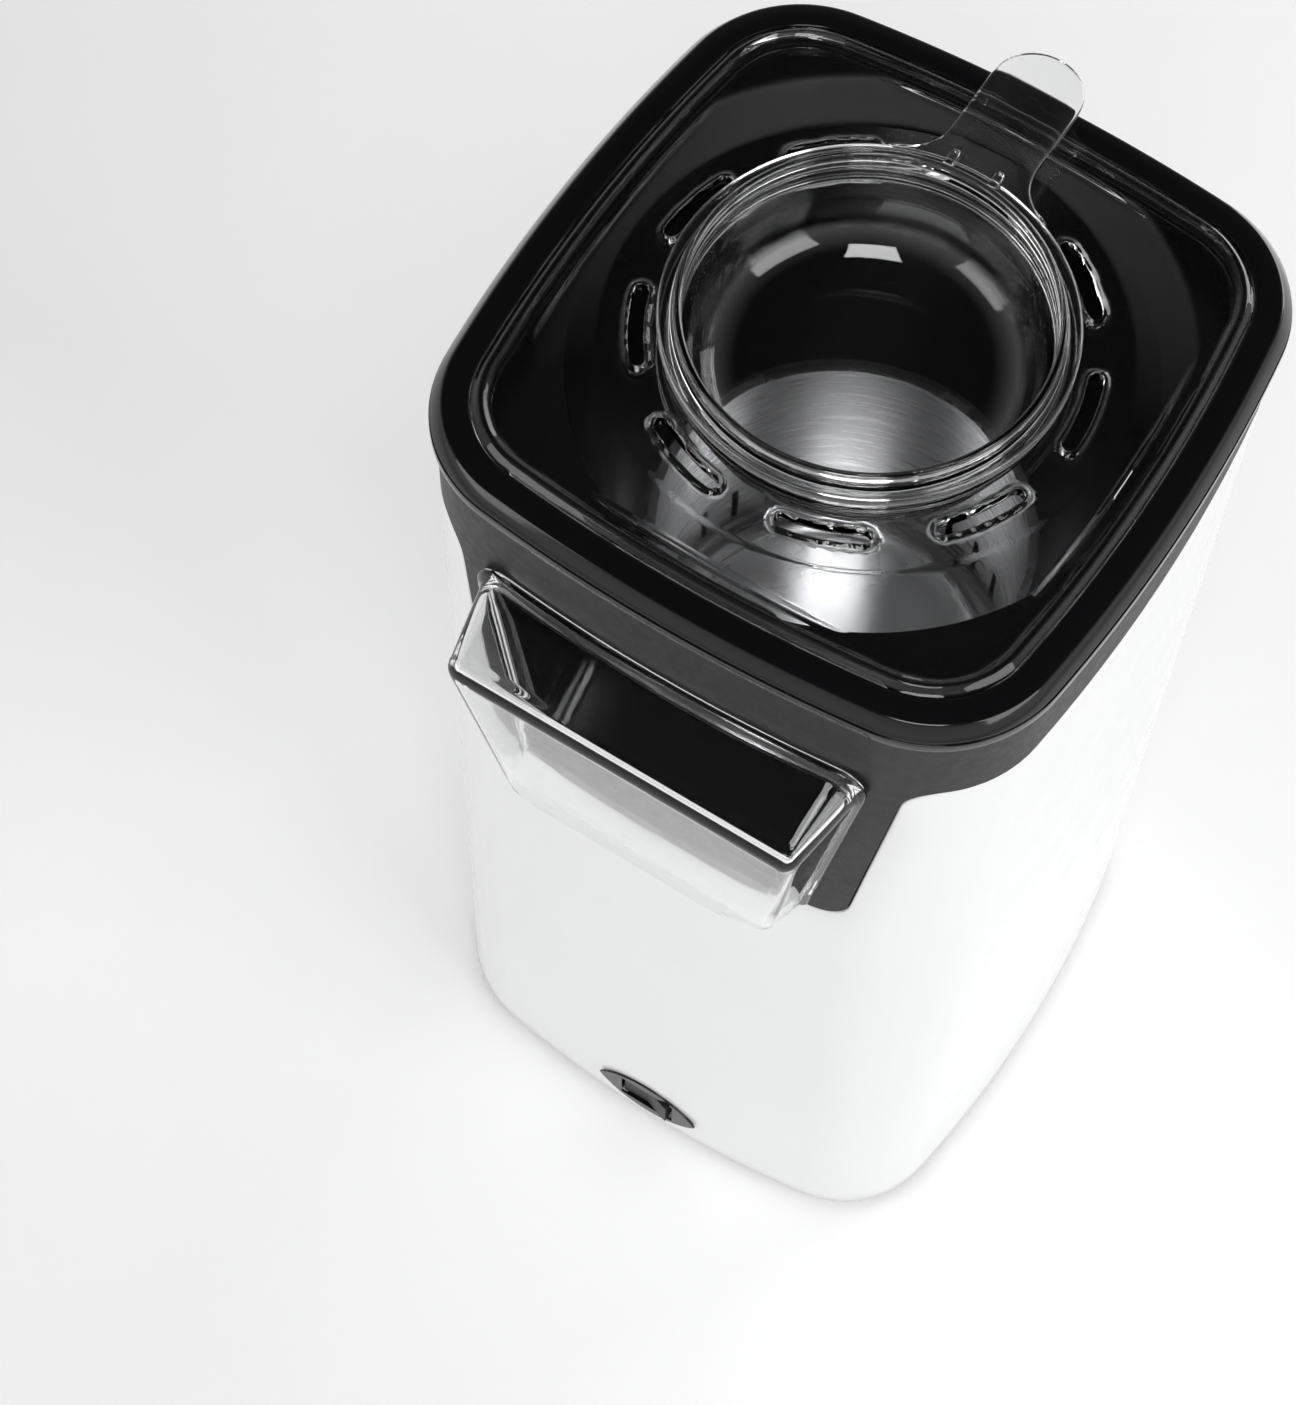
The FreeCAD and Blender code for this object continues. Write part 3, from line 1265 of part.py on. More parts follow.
def make_terminal_block():
    """Two-way terminal block on the base plate, with a clamp screw over each way."""
    body = new_body("terminal_block")
    x, y = -size["terminal_place_x"], size["terminal_place_y"]
    half = size["terminal_half"]
    block = sketch_on(body, "XY_Plane", base_top)
    rectangle(block, x - half, x + half, y - half / 2, y + half / 2)
    pad(body, block, size["terminal_high"])
    ways = sketch_on(body, "XY_Plane", base_top + size["terminal_high"])
    for sign in (1, -1):
        circle(ways, size["screw_head_radius"] - 0.6, x + sign * half / 2, y)
    pocket(body, ways, as_size(2))


# ---------------------------------------------------------------- build, check and write

make_housing_shell()
make_collar()
make_base_plate()
make_rubber_feet()
make_screws("base_screws", boss_circles)
make_screws("fan_leg_screws", leg_circles)
make_chute_hood()
make_chute()
make_inner_bowl()
make_top_ring()
make_lid_window()
make_cup()
make_popping_chamber()
make_ring("chamber_gasket", bowl_throat + 0.2, size["chamber_radius"] + size["chamber_flange"],
          size["chamber_top"] + size["chamber_wall"], bowl_bottom)
make_heater_can()
mica_middle = size["mica_bottom"] + size["mica_high"] / 2
make_mica_board("mica_board_across", "XZ_Plane", mica_middle, mica_middle + size["mica_high"])
make_mica_board("mica_board_along", "YZ_Plane", mica_middle - size["mica_high"], mica_middle)
make_heater_coil()
make_thermostat()
make_thermal_fuse()
make_fan_housing()
make_motor_screws()
make_motor()
make_impeller()
make_rectifier()
make_switch()
make_cord_inlet()
make_terminal_block()
doc.recompute()

for item in doc.Objects:
    if "Invalid" in item.State or "Error" in item.State:
        raise RuntimeError(f"{item.Label} in {item.getParentGeoFeatureGroup()} did not build: {item.State}")
os.makedirs("parts", exist_ok=True)
for piece in PIECES:
    shape = piece.Shape
    if shape.isNull() or not shape.isValid():
        raise RuntimeError(f"{piece.Label} has no valid shape")
    shape.exportStep(f"parts/{piece.Label}.step")
    box = shape.BoundBox
    print(f"{piece.Label:20s} solids {len(shape.Solids)} volume {shape.Volume:10.1f} "
          f"x {box.XMin:7.2f} {box.XMax:7.2f} y {box.YMin:7.2f} {box.YMax:7.2f} "
          f"z {box.ZMin:7.2f} {box.ZMax:7.2f}")
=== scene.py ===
"""Looks of the popcorn maker: finer pieces, materials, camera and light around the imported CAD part."""

import math

import bmesh
import bpy
from mathutils import Matrix, Vector


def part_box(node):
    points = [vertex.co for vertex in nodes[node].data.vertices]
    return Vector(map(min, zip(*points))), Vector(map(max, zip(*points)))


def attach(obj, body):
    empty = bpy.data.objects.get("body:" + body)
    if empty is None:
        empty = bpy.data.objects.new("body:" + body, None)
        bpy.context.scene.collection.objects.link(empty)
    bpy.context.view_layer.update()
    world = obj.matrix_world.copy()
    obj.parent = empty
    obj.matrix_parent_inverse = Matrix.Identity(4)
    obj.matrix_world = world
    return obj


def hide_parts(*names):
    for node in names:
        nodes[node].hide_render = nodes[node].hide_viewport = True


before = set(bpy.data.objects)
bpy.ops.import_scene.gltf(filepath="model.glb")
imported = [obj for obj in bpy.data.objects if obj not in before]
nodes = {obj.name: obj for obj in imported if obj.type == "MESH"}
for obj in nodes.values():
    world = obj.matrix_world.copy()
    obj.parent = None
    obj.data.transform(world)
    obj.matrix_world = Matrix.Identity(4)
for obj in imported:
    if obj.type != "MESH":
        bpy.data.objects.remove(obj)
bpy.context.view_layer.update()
scene = bpy.context.scene
MM = 0.001


# ---------------------------------------------------------------- material building blocks

class Paint:
    """A node material with helpers that add and link nodes."""

    def __init__(self, name, color, roughness, metallic=0.0):
        self.material = bpy.data.materials.new(name)
        self.material.use_nodes = True
        self.tree = self.material.node_tree
        self.shader = self.tree.nodes["Principled BSDF"]
        self.shader.inputs["Base Color"].default_value = (*color, 1.0)
        self.shader.inputs["Roughness"].default_value = roughness
        self.shader.inputs["Metallic"].default_value = metallic
        self.color = color
        self.roughness = roughness
        self.place = self.add("ShaderNodeTexCoord").outputs["Object"]
        self.height = None

    def add(self, kind, **values):
        """A node; values set its sockets by name with spaces as underscores."""
        node = self.tree.nodes.new(kind)
        for key, value in values.items():
            node.inputs[key.replace("_", " ")].default_value = value
        return node

    def link(self, output, target):
        self.tree.links.new(output, target)

    def stretched(self, scale, turn=(0.0, 0.0, 0.0)):
        """Object coordinates scaled per axis."""
        mapping = self.add("ShaderNodeMapping")
        mapping.inputs["Scale"].default_value = scale
        mapping.inputs["Rotation"].default_value = turn
        self.link(self.place, mapping.inputs["Vector"])
        return mapping.outputs["Vector"]

    def noise(self, scale, detail=4.0, rough=0.55, place=None):
        """Fractal noise, in turns per metre of the object."""
        node = self.add("ShaderNodeTexNoise", Scale=scale, Detail=detail, Roughness=rough)
        self.link(place or self.place, node.inputs["Vector"])
        return node.outputs["Fac"]

    def cells(self, scale, place=None):
        """Distance to the nearest of many scattered points."""
        node = self.add("ShaderNodeTexVoronoi", Scale=scale)
        self.link(place or self.place, node.inputs["Vector"])
        return node.outputs["Distance"]

    def remap(self, value, low, high, new_low, new_high):
        """Value moved from one range to another."""
        node = self.add("ShaderNodeMapRange")
        node.inputs["From Min"].default_value = low
        node.inputs["From Max"].default_value = high
        node.inputs["To Min"].default_value = new_low
        node.inputs["To Max"].default_value = new_high
        self.link(value, node.inputs["Value"])
        return node.outputs["Result"]

    def vary_color(self, value, low, high, dark, light):
        """Base colour running from dark to light as value goes from low to high."""
        node = self.add("ShaderNodeValToRGB")
        node.color_ramp.elements[0].position = low
        node.color_ramp.elements[0].color = (*dark, 1.0)
        node.color_ramp.elements[1].position = high
        node.color_ramp.elements[1].color = (*light, 1.0)
        self.link(value, node.inputs["Fac"])
        self.link(node.outputs["Color"], self.shader.inputs["Base Color"])

    def tone(self, value, spread):
        """Base colour a little darker and lighter than the material's own."""
        dark = tuple(c * (1 - spread) for c in self.color)
        light = tuple(min(1.0, c * (1 + spread)) for c in self.color)
        self.vary_color(value, 0.3, 0.7, dark, light)

    def vary_roughness(self, value, spread):
        low = max(0.02, self.roughness - spread)
        self.link(self.remap(value, 0.3, 0.7, low, self.roughness + spread), self.shader.inputs["Roughness"])

    def bump(self, value, strength, distance):
        """Adds relief; several calls stack."""
        node = self.add("ShaderNodeBump", Strength=strength, Distance=distance)
        self.link(value, node.inputs["Height"])
        if self.height is not None:
            self.link(self.height, node.inputs["Normal"])
        self.height = node.outputs["Normal"]
        self.link(self.height, self.shader.inputs["Normal"])

    def shine(self, **values):
        """Sets the shader's own sockets."""
        for key, value in values.items():
            self.shader.inputs[key.replace("_", " ")].default_value = value


def gloss_white():
    """Moulded glossy white housing plastic: faint orange peel and barely uneven gloss."""
    paint = Paint("gloss_white", (0.80, 0.805, 0.81), 0.16)
    paint.tone(paint.noise(9.0, 2.0), 0.012)
    paint.vary_roughness(paint.noise(60.0, 5.0), 0.035)
    paint.bump(paint.noise(260.0, 2.0), 0.05, 0.0004)
    paint.shine(Specular_IOR_Level=0.5, Coat_Weight=0.35, Coat_Roughness=0.06)
    return paint.material


def grained_dark():
    """Charcoal collar plastic with a fine spark-eroded grain."""
    paint = Paint("grained_dark", (0.0085, 0.0080, 0.0078), 0.46)
    paint.tone(paint.noise(35.0, 3.0), 0.10)
    paint.vary_roughness(paint.noise(420.0, 3.0), 0.05)
    paint.bump(paint.noise(3800.0, 3.0, 0.7), 0.16, 0.00012)
    paint.shine(Specular_IOR_Level=0.32)
    return paint.material


def gloss_black(name, roughness):
    """Glossy black plastic with faint flow lines and hairline marks in the gloss."""
    paint = Paint(name, (0.0042, 0.0042, 0.0048), roughness)
    paint.tone(paint.noise(18.0, 2.0), 0.15)
    paint.vary_roughness(paint.noise(900.0, 6.0, 0.7, paint.stretched((1.0, 0.12, 1.0))), 0.03)
    paint.bump(paint.noise(330.0, 2.0), 0.03, 0.0003)
    paint.shine(Specular_IOR_Level=0.5)
    return paint.material


def clear_plastic(name, tint):
    """Thick clear moulded plastic with slow waves in its faces."""
    paint = Paint(name, tint, 0.02)
    paint.vary_roughness(paint.noise(500.0, 5.0, 0.7), 0.012)
    paint.bump(paint.noise(70.0, 1.0), 0.08, 0.0005)
    paint.shine(Transmission_Weight=1.0, IOR=1.49)
    return paint.material


def moulded(name, color, roughness, grain=1500.0):
    """Plain moulded plastic with fine grain and a little colour drift."""
    paint = Paint(name, color, roughness)
    paint.tone(paint.noise(40.0, 3.0), 0.08)
    paint.vary_roughness(paint.noise(300.0, 3.0), 0.06)
    paint.bump(paint.noise(grain, 3.0, 0.7), 0.15, 0.00015)
    return paint.material


def rubbery(name, color):
    """Soft matte rubber, speckled and slightly chalky."""
    paint = Paint(name, color, 0.82)
    paint.tone(paint.noise(220.0, 5.0), 0.18)
    paint.vary_roughness(paint.noise(500.0, 4.0), 0.08)
    paint.bump(paint.noise(1400.0, 5.0, 0.75), 0.3, 0.0002)
    return paint.material


def brushed(name, color, roughness, grain):
    """Metal with grain drawn along one axis; grain gives the three scales."""
    paint = Paint(name, color, roughness, metallic=1.0)
    lines = paint.noise(700.0, 4.0, 0.7, paint.stretched(grain))
    paint.tone(lines, 0.10)
    paint.vary_roughness(lines, 0.10)
    paint.bump(lines, 0.12, 0.0001)
    return paint.material


def spangled(name, color):
    """Galvanised sheet with crystals of zinc."""
    paint = Paint(name, color, 0.38, metallic=1.0)
    flakes = paint.cells(160.0)
    paint.tone(flakes, 0.12)
    paint.vary_roughness(flakes, 0.12)
    paint.bump(paint.noise(600.0, 4.0), 0.08, 0.0001)
    return paint.material


def flaked(name, color):
    """Pressed mica board: overlapping flakes with a soft sheen."""
    paint = Paint(name, color, 0.45)
    flakes = paint.cells(260.0, paint.stretched((1.0, 1.0, 1.6)))
    paint.tone(flakes, 0.25)
    paint.vary_roughness(flakes, 0.15)
    paint.bump(flakes, 0.2, 0.0002)
    paint.shine(Coat_Weight=0.2)
    return paint.material


def laminate(name, color):
    """Circuit board with the weave of its cloth showing."""
    paint = Paint(name, color, 0.5)
    weave = paint.add("ShaderNodeTexWave", Scale=500.0, Distortion=1.5)
    paint.link(paint.place, weave.inputs["Vector"])
    paint.tone(weave.outputs["Fac"], 0.2)
    paint.vary_roughness(paint.noise(300.0), 0.1)
    paint.bump(weave.outputs["Fac"], 0.2, 0.0001)
    return paint.material


def wound(name, color):
    """Enamelled copper with the ridges of its turns."""
    paint = Paint(name, color, 0.3, metallic=1.0)
    turns = paint.add("ShaderNodeTexWave", Scale=420.0, Distortion=0.6)
    turns.bands_direction = "Z"
    paint.link(paint.place, turns.inputs["Vector"])
    paint.tone(turns.outputs["Fac"], 0.25)
    paint.vary_roughness(paint.noise(200.0), 0.08)
    paint.bump(turns.outputs["Fac"], 0.35, 0.0003)
    return paint.material


white = gloss_white()
collar_dark = grained_dark()
ring_black = gloss_black("ring_black", 0.10)
bowl_black = gloss_black("bowl_black", 0.22)
clear = clear_plastic("clear_plastic", (0.985, 0.99, 0.99))
dull_black = moulded("dull_black", (0.012, 0.012, 0.012), 0.5)
heat_black = moulded("heat_black", (0.03, 0.028, 0.026), 0.6, 2200.0)
nylon = moulded("nylon", (0.70, 0.69, 0.63), 0.45)
rubber = rubbery("rubber", (0.012, 0.012, 0.012))
silicone = rubbery("silicone", (0.02, 0.02, 0.02))
chamber_metal = brushed("chamber_metal", (0.78, 0.78, 0.79), 0.30, (0.03, 0.03, 1.0))
screw_steel = brushed("screw_steel", (0.58, 0.57, 0.55), 0.32, (1.0, 0.1, 0.1))
brass = brushed("brass", (0.76, 0.58, 0.26), 0.28, (0.2, 0.2, 1.0))
coil_metal = brushed("coil_metal", (0.30, 0.27, 0.25), 0.45, (1.0, 1.0, 0.2))
sheet_steel = spangled("sheet_steel", (0.56, 0.57, 0.58))
mica = flaked("mica", (0.55, 0.47, 0.33))
board = laminate("board", (0.25, 0.18, 0.06))
copper = wound("copper", (0.72, 0.33, 0.16))
magnet = moulded("magnet", (0.05, 0.05, 0.055), 0.55, 900.0)

LOOKS = {
    "housing_shell": white, "collar": collar_dark, "base_plate": dull_black, "rubber_feet": rubber,
    "base_screws": screw_steel, "fan_leg_screws": screw_steel, "chute_hood": clear, "chute": bowl_black,
    "inner_bowl": bowl_black, "top_ring": ring_black, "lid_window": clear, "measuring_cup": clear,
    "popping_chamber": chamber_metal, "chamber_gasket": silicone, "heater_can": sheet_steel,
    "mica_board_across": mica, "mica_board_along": mica, "heater_coil": coil_metal, "thermostat": sheet_steel,
    "thermal_fuse": sheet_steel, "fan_housing": heat_black, "motor_screws": screw_steel,
    "motor_can": sheet_steel, "motor_end_cap": nylon, "motor_bushes": brass, "motor_magnets": magnet,
    "armature": copper, "commutator": copper, "motor_shaft": screw_steel, "impeller": dull_black,
    "rectifier_board": board, "rectifier_diodes": dull_black, "switch_bezel": ring_black,
    "rocker": dull_black, "switch_body": dull_black, "switch_terminals": brass, "cord_inlet": rubber,
    "terminal_block": nylon,
}
for name, look in LOOKS.items():
    nodes[name].data.materials.clear()
    nodes[name].data.materials.append(look)


# ---------------------------------------------------------------- mesh building blocks (millimetres)

# the upright axis stands where the ring's middle is; pieces are drawn about it
AXIS_Y = sum(corner.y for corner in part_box("top_ring")) / 2 / MM


def box_mm(node):
    """A CAD node's box in millimetres, about the popper's own upright axis."""
    low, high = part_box(node)
    shift = Vector((0.0, AXIS_Y, 0.0))
    return low / MM - shift, high / MM - shift


def mesh_object(name, points, faces, look, body, replaced=(), sharp_deg=40.0):
    """A piece from points in millimetres and faces of point numbers; smooth except at sharp edges."""
    data = bpy.data.meshes.new(name)
    data.from_pydata([(x * MM, (y + AXIS_Y) * MM, z * MM) for x, y, z in points], [], faces)
    return finish_piece(name, data, look, body, replaced, sharp_deg)


def finish_piece(name, data, look, body, replaced=(), sharp_deg=40.0):
    """Cleans a mesh, smooths it and hands it to its body."""
    mesh = bmesh.new()
    mesh.from_mesh(data)
    bmesh.ops.remove_doubles(mesh, verts=mesh.verts, dist=0.004 * MM)
    bmesh.ops.dissolve_degenerate(mesh, edges=mesh.edges, dist=0.002 * MM)
    bmesh.ops.recalc_face_normals(mesh, faces=mesh.faces)
    for face in mesh.faces:
        face.smooth = True
    limit = math.radians(sharp_deg)
    for edge in mesh.edges:
        edge.smooth = len(edge.link_faces) == 2 and edge.calc_face_angle(0.0) < limit
    mesh.to_mesh(data)
    mesh.free()
    data.materials.clear()
    data.materials.append(look)
    made = bpy.data.objects.new(name, data)
    scene.collection.objects.link(made)
    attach(made, body)
    if replaced:
        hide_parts(*replaced)
    return made


def grid_faces(rows, across_closed=False, down_closed=False):
    """Quads between rows of point numbers."""
    faces = []
    count = len(rows[0])
    row_pairs = len(rows) if down_closed else len(rows) - 1
    for i in range(row_pairs):
        first, second = rows[i], rows[(i + 1) % len(rows)]
        for j in range(count if across_closed else count - 1):
            k = (j + 1) % count
            faces.append((first[j], first[k], second[k], second[j]))
    return faces


def rounded(corners, steps=5, closed=True):
    """A flat path through corners (a, b[, radius]) with the corners turned into arcs."""
    path = []
    count = len(corners)
    for i, corner in enumerate(corners):
        at = Vector(corner[:2])
        radius = corner[2] if len(corner) > 2 else 0.0
        ends = not closed and i in (0, count - 1)
        if radius <= 0 or ends:
            path.append(tuple(at))
            continue
        back = (Vector(corners[i - 1][:2]) - at).normalized()
        ahead = (Vector(corners[(i + 1) % count][:2]) - at).normalized()
        half = back.angle(ahead) / 2
        centre = at + (back + ahead).normalized() * (radius / math.sin(half))
        first = at + back * (radius / math.tan(half)) - centre
        last = at + ahead * (radius / math.tan(half)) - centre
        turn = first.angle(last)
        sign = 1.0 if first.x * last.y - first.y * last.x > 0 else -1.0
        for step in range(steps + 1):
            angle = sign * turn * step / steps
            spun = Vector((first.x * math.cos(angle) - first.y * math.sin(angle),
                           first.x * math.sin(angle) + first.y * math.cos(angle)))
            path.append(tuple(centre + spun))
    return path


def lathe(profile, turns=160):
    """Points and faces of a closed profile of (radius, height) turned about the vertical axis."""
    points, rows = [], []
    for radius, height in profile:
        rows.append(list(range(len(points), len(points) + turns)))
        for turn in range(turns):
            angle = 2 * math.pi * turn / turns
            points.append((radius * math.cos(angle), radius * math.sin(angle), height))
    return points, grid_faces(rows, across_closed=True, down_closed=True)


class Pillow:
    """A rounded square with four shallow arcs for sides, given by its half sizes and radii."""

    def __init__(self, half_x, half_y, side, corner):
        self.half_x, self.half_y, self.side, self.corner = half_x, half_y, side, corner
        reach_x, reach_y = side - half_x, side - half_y
        inner = side - corner
        spread = math.hypot(reach_x, reach_y)
        rise = math.sqrt(inner ** 2 - (spread / 2) ** 2)
        self.centre = (-reach_x / 2 + reach_y / spread * rise, -reach_y / 2 + reach_x / spread * rise)
        self.turn_x = math.atan2(self.centre[1], self.centre[0] + reach_x)
        self.turn_y = math.atan2(self.centre[0], self.centre[1] + reach_y)
        self.reach_x, self.reach_y = reach_x, reach_y

    def inset(self, distance):
        """The same outline moved inwards."""
        return Pillow(self.half_x - distance, self.half_y - distance,
                      self.side - distance, self.corner - distance)

    def point(self, place):
        """Point and outward direction at place, from 0 to 8: even stretches are sides, odd ones corners."""
        part = int(place) % 8
        share = place - int(place)
        quarter = part // 2
        facing = quarter * math.pi / 2
        across = quarter % 2 == 0
        half = self.turn_x if across else self.turn_y
        if part % 2 == 0:
            back = self.reach_x if across else self.reach_y
            angle = facing - half + 2 * half * share
            middle = (-back * math.cos(facing), -back * math.sin(facing))
            radius = self.side
        else:
            next_half = self.turn_y if across else self.turn_x
            start, end = facing + half, facing + math.pi / 2 - next_half
            angle = start + (end - start) * share
            sign_x = 1 if quarter in (0, 3) else -1
            sign_y = 1 if quarter in (0, 1) else -1
            middle = (sign_x * self.centre[0], sign_y * self.centre[1])
            radius = self.corner
        out = (math.cos(angle), math.sin(angle))
        return (middle[0] + radius * out[0], middle[1] + radius * out[1]), out

    def depth(self, x, y):
        """How far a point lies inside the outline."""
        x, y = abs(x), abs(y)
        off = (x - self.centre[0], y - self.centre[1])
        angle = math.atan2(off[1], off[0])
        if self.turn_x <= angle <= math.pi / 2 - self.turn_y:
            return self.corner - math.hypot(*off)
        side_x = math.hypot(x + self.reach_x, y) - self.side
        side_y = math.hypot(x, y + self.reach_y) - self.side
        return -max(side_x, side_y)


def places(side_steps, corner_steps):
    """Evenly spread places round a pillow, starting on the right-hand side."""
    found = []
    for part in range(8):
        steps = side_steps if part % 2 == 0 else corner_steps
        found += [part + step / steps for step in range(steps)]
    return found


def pillow_sweep(pillow, profile, stations):
    """Points and faces of a closed profile of (inset, height) carried round a pillow."""
    points, rows = [], []
    for inset, height in profile:
        outline = pillow.inset(inset)
        rows.append(list(range(len(points), len(points) + len(stations))))
        for place in stations:
            (x, y), _ = outline.point(place)
            points.append((x, y, height))
    return points, grid_faces(rows, across_closed=True, down_closed=True)


def joined(*parts):
    """Several (points, faces) as one."""
    points, faces = [], []
    for some_points, some_faces in parts:
        start = len(points)
        points += some_points
        faces += [tuple(start + k for k in face) for face in some_faces]
    return points, faces


def combine(data, tool, operation):
    """The mesh data after a boolean with another mesh."""
    first = bpy.data.objects.new("first", data)
    second = bpy.data.objects.new("second", tool)
    for item in (first, second):
        scene.collection.objects.link(item)
    step = first.modifiers.new("boolean", "BOOLEAN")
    step.operation = operation
    step.solver = "EXACT"
    step.object = second
    bpy.context.view_layer.update()
    result = bpy.data.meshes.new_from_object(first.evaluated_get(bpy.context.evaluated_depsgraph_get()))
    for item in (first, second):
        bpy.data.objects.remove(item)
    return result


def plain_mesh(name, points, faces):
    """A mesh in metres with outward normals, for use in combine."""
    data = bpy.data.meshes.new(name)
    data.from_pydata([(x * MM, (y + AXIS_Y) * MM, z * MM) for x, y, z in points], [], faces)
    mesh = bmesh.new()
    mesh.from_mesh(data)
    bmesh.ops.remove_doubles(mesh, verts=mesh.verts, dist=0.004 * MM)
    bmesh.ops.recalc_face_normals(mesh, faces=mesh.faces)
    mesh.to_mesh(data)
    mesh.free()
    return data


# ---------------------------------------------------------------- shapes that the pieces share

ring_high = box_mm("top_ring")[1]
hood_low, hood_high = box_mm("chute_hood")
cup_low, cup_high = box_mm("measuring_cup")

RING_TOP = ring_high.z
RING_HIGH = 7.3
RING_BOTTOM = RING_TOP - RING_HIGH
RING_SIDE_RADIUS = 411.5
RING_CORNER_RADIUS = 32.8
RING_OVERHANG = 1.5
RING_GAP = 0.9
RING = Pillow(ring_high.x, ring_high.y, RING_SIDE_RADIUS, RING_CORNER_RADIUS)
HOUSE_TOP = RING.inset(RING_OVERHANG)
BASE_INSET = 0.4
BASE_SIDE_RADIUS = 325.0
BASE_CORNER_RADIUS = 29.7
HOUSE_BASE = Pillow(ring_high.x - BASE_INSET, ring_high.y - BASE_INSET, BASE_SIDE_RADIUS, BASE_CORNER_RADIUS)
COLLAR_TOP = RING_BOTTOM - RING_GAP
COLLAR_LOW = 275.0
SHELL_LOW = box_mm("housing_shell")[0].z
WALL = 2.4


def house_point(place, height, inset):
    """A point of the housing's tapering side at a height, moved in from the surface."""
    share = (height - SHELL_LOW) / (COLLAR_TOP - SHELL_LOW)
    (x0, y0), out0 = HOUSE_BASE.point(place)
    (x1, y1), out1 = HOUSE_TOP.point(place)
    out_x = out0[0] + (out1[0] - out0[0]) * share
    out_y = out0[1] + (out1[1] - out0[1]) * share
    return (x0 + (x1 - x0) * share - out_x * inset, y0 + (y1 - y0) * share - out_y * inset, height)


# ---------------------------------------------------------------- top ring

def build_top_ring():
    """Gloss black ring: skirt, fine line, chamfer, flat top, window seat and spigot, edges eased."""
    top, low = RING_TOP, RING_BOTTOM
    line, line_deep = low + 2.9, 0.5
    chamfer, band, ledge = 2.8, 9.0, 14.0
    ledge_top, ledge_low = top - 2.7, low + 1.6
    spigot_out, spigot_in, spigot_low = 4.6, 6.6, low - 2.9
    profile = rounded([
        (0.0, low, 0.5), (0.0, line, 0.25), (line_deep, line, 0.1), (line_deep, line + line_deep, 0.1),
        (0.0, line + line_deep, 0.3), (chamfer, top, 1.1), (band, top, 0.4), (band, ledge_top, 0.2),
        (ledge, ledge_top, 0.3), (ledge, ledge_low, 0.3), (band, ledge_low, 0.2), (band, low, 0.2),
        (spigot_in, low, 0.2), (spigot_in, spigot_low, 0.4), (spigot_out, spigot_low, 0.4),
        (spigot_out, low, 0.2)], steps=4)
    points, faces = pillow_sweep(RING, profile, places(40, 24))
    mesh_object("ring_piece", points, faces, ring_black, "cover", ["top_ring"], 50.0)


# ---------------------------------------------------------------- lid window

CUP_HOLE = 43.0
PLATEAU_RADIUS = 58.3
CONE_RADIUS = 73.0
PLATEAU_TOP = RING_TOP + 2.6
SLOT_RING = 50.4
SLOT_HALF_WIDE = 1.75
SLOT_LIP = 1.0
SLOT_LIP_HIGH = 0.95
SLOT_HALF_TURN = math.asin(8.75 / SLOT_RING)
SLOT_PLACES = 9
LID_EDGE = 9.3
LID_WALL = 2.2
LID_RIM_WALL = 2.4
LID_RIM_DROP = 0.35
BEAD_INSET = 2.2
BEAD_HALF_WIDE = 1.4
BEAD_HIGH = 1.3
LID_FLAT_INSET = 15.7
LID_BLEND = 0.9


def slot_turns():
    """The direction of each slot, leaving the one under the handle out."""
    return [math.pi / 2 + 2 * math.pi * k / SLOT_PLACES for k in range(1, SLOT_PLACES)]


def slot_distance(x, y):
    """Distance from the centre line of the nearest slot."""
    turn = math.atan2(y, x)
    best = 1e9
    for middle in slot_turns():
        off = (turn - middle + math.pi) % (2 * math.pi) - math.pi
        held = max(-SLOT_HALF_TURN, min(SLOT_HALF_TURN, off))
        near = middle + held
        best = min(best, math.hypot(x - SLOT_RING * math.cos(near), y - SLOT_RING * math.sin(near)))
    return best


def ridge(distance, half_wide, high):
    """Height of a half-round bead at a distance from its middle."""
    share = distance / half_wide
    return high * math.sqrt(1 - share * share) if abs(share) < 1 else 0.0


def lid_form(x, y):
    """Height of the lid's sheet above its flat edge, without beads."""
    depth = RING.depth(x, y)
    radius = math.hypot(x, y)
    slope = (CONE_RADIUS - radius) / (CONE_RADIUS - PLATEAU_RADIUS)
    rise = (PLATEAU_TOP - RING_TOP) * max(0.0, min(1.0, slope))
    held = max(0.0, min(1.0, (depth - LID_FLAT_INSET) / LID_BLEND))
    return rise * held * held * (3 - 2 * held)


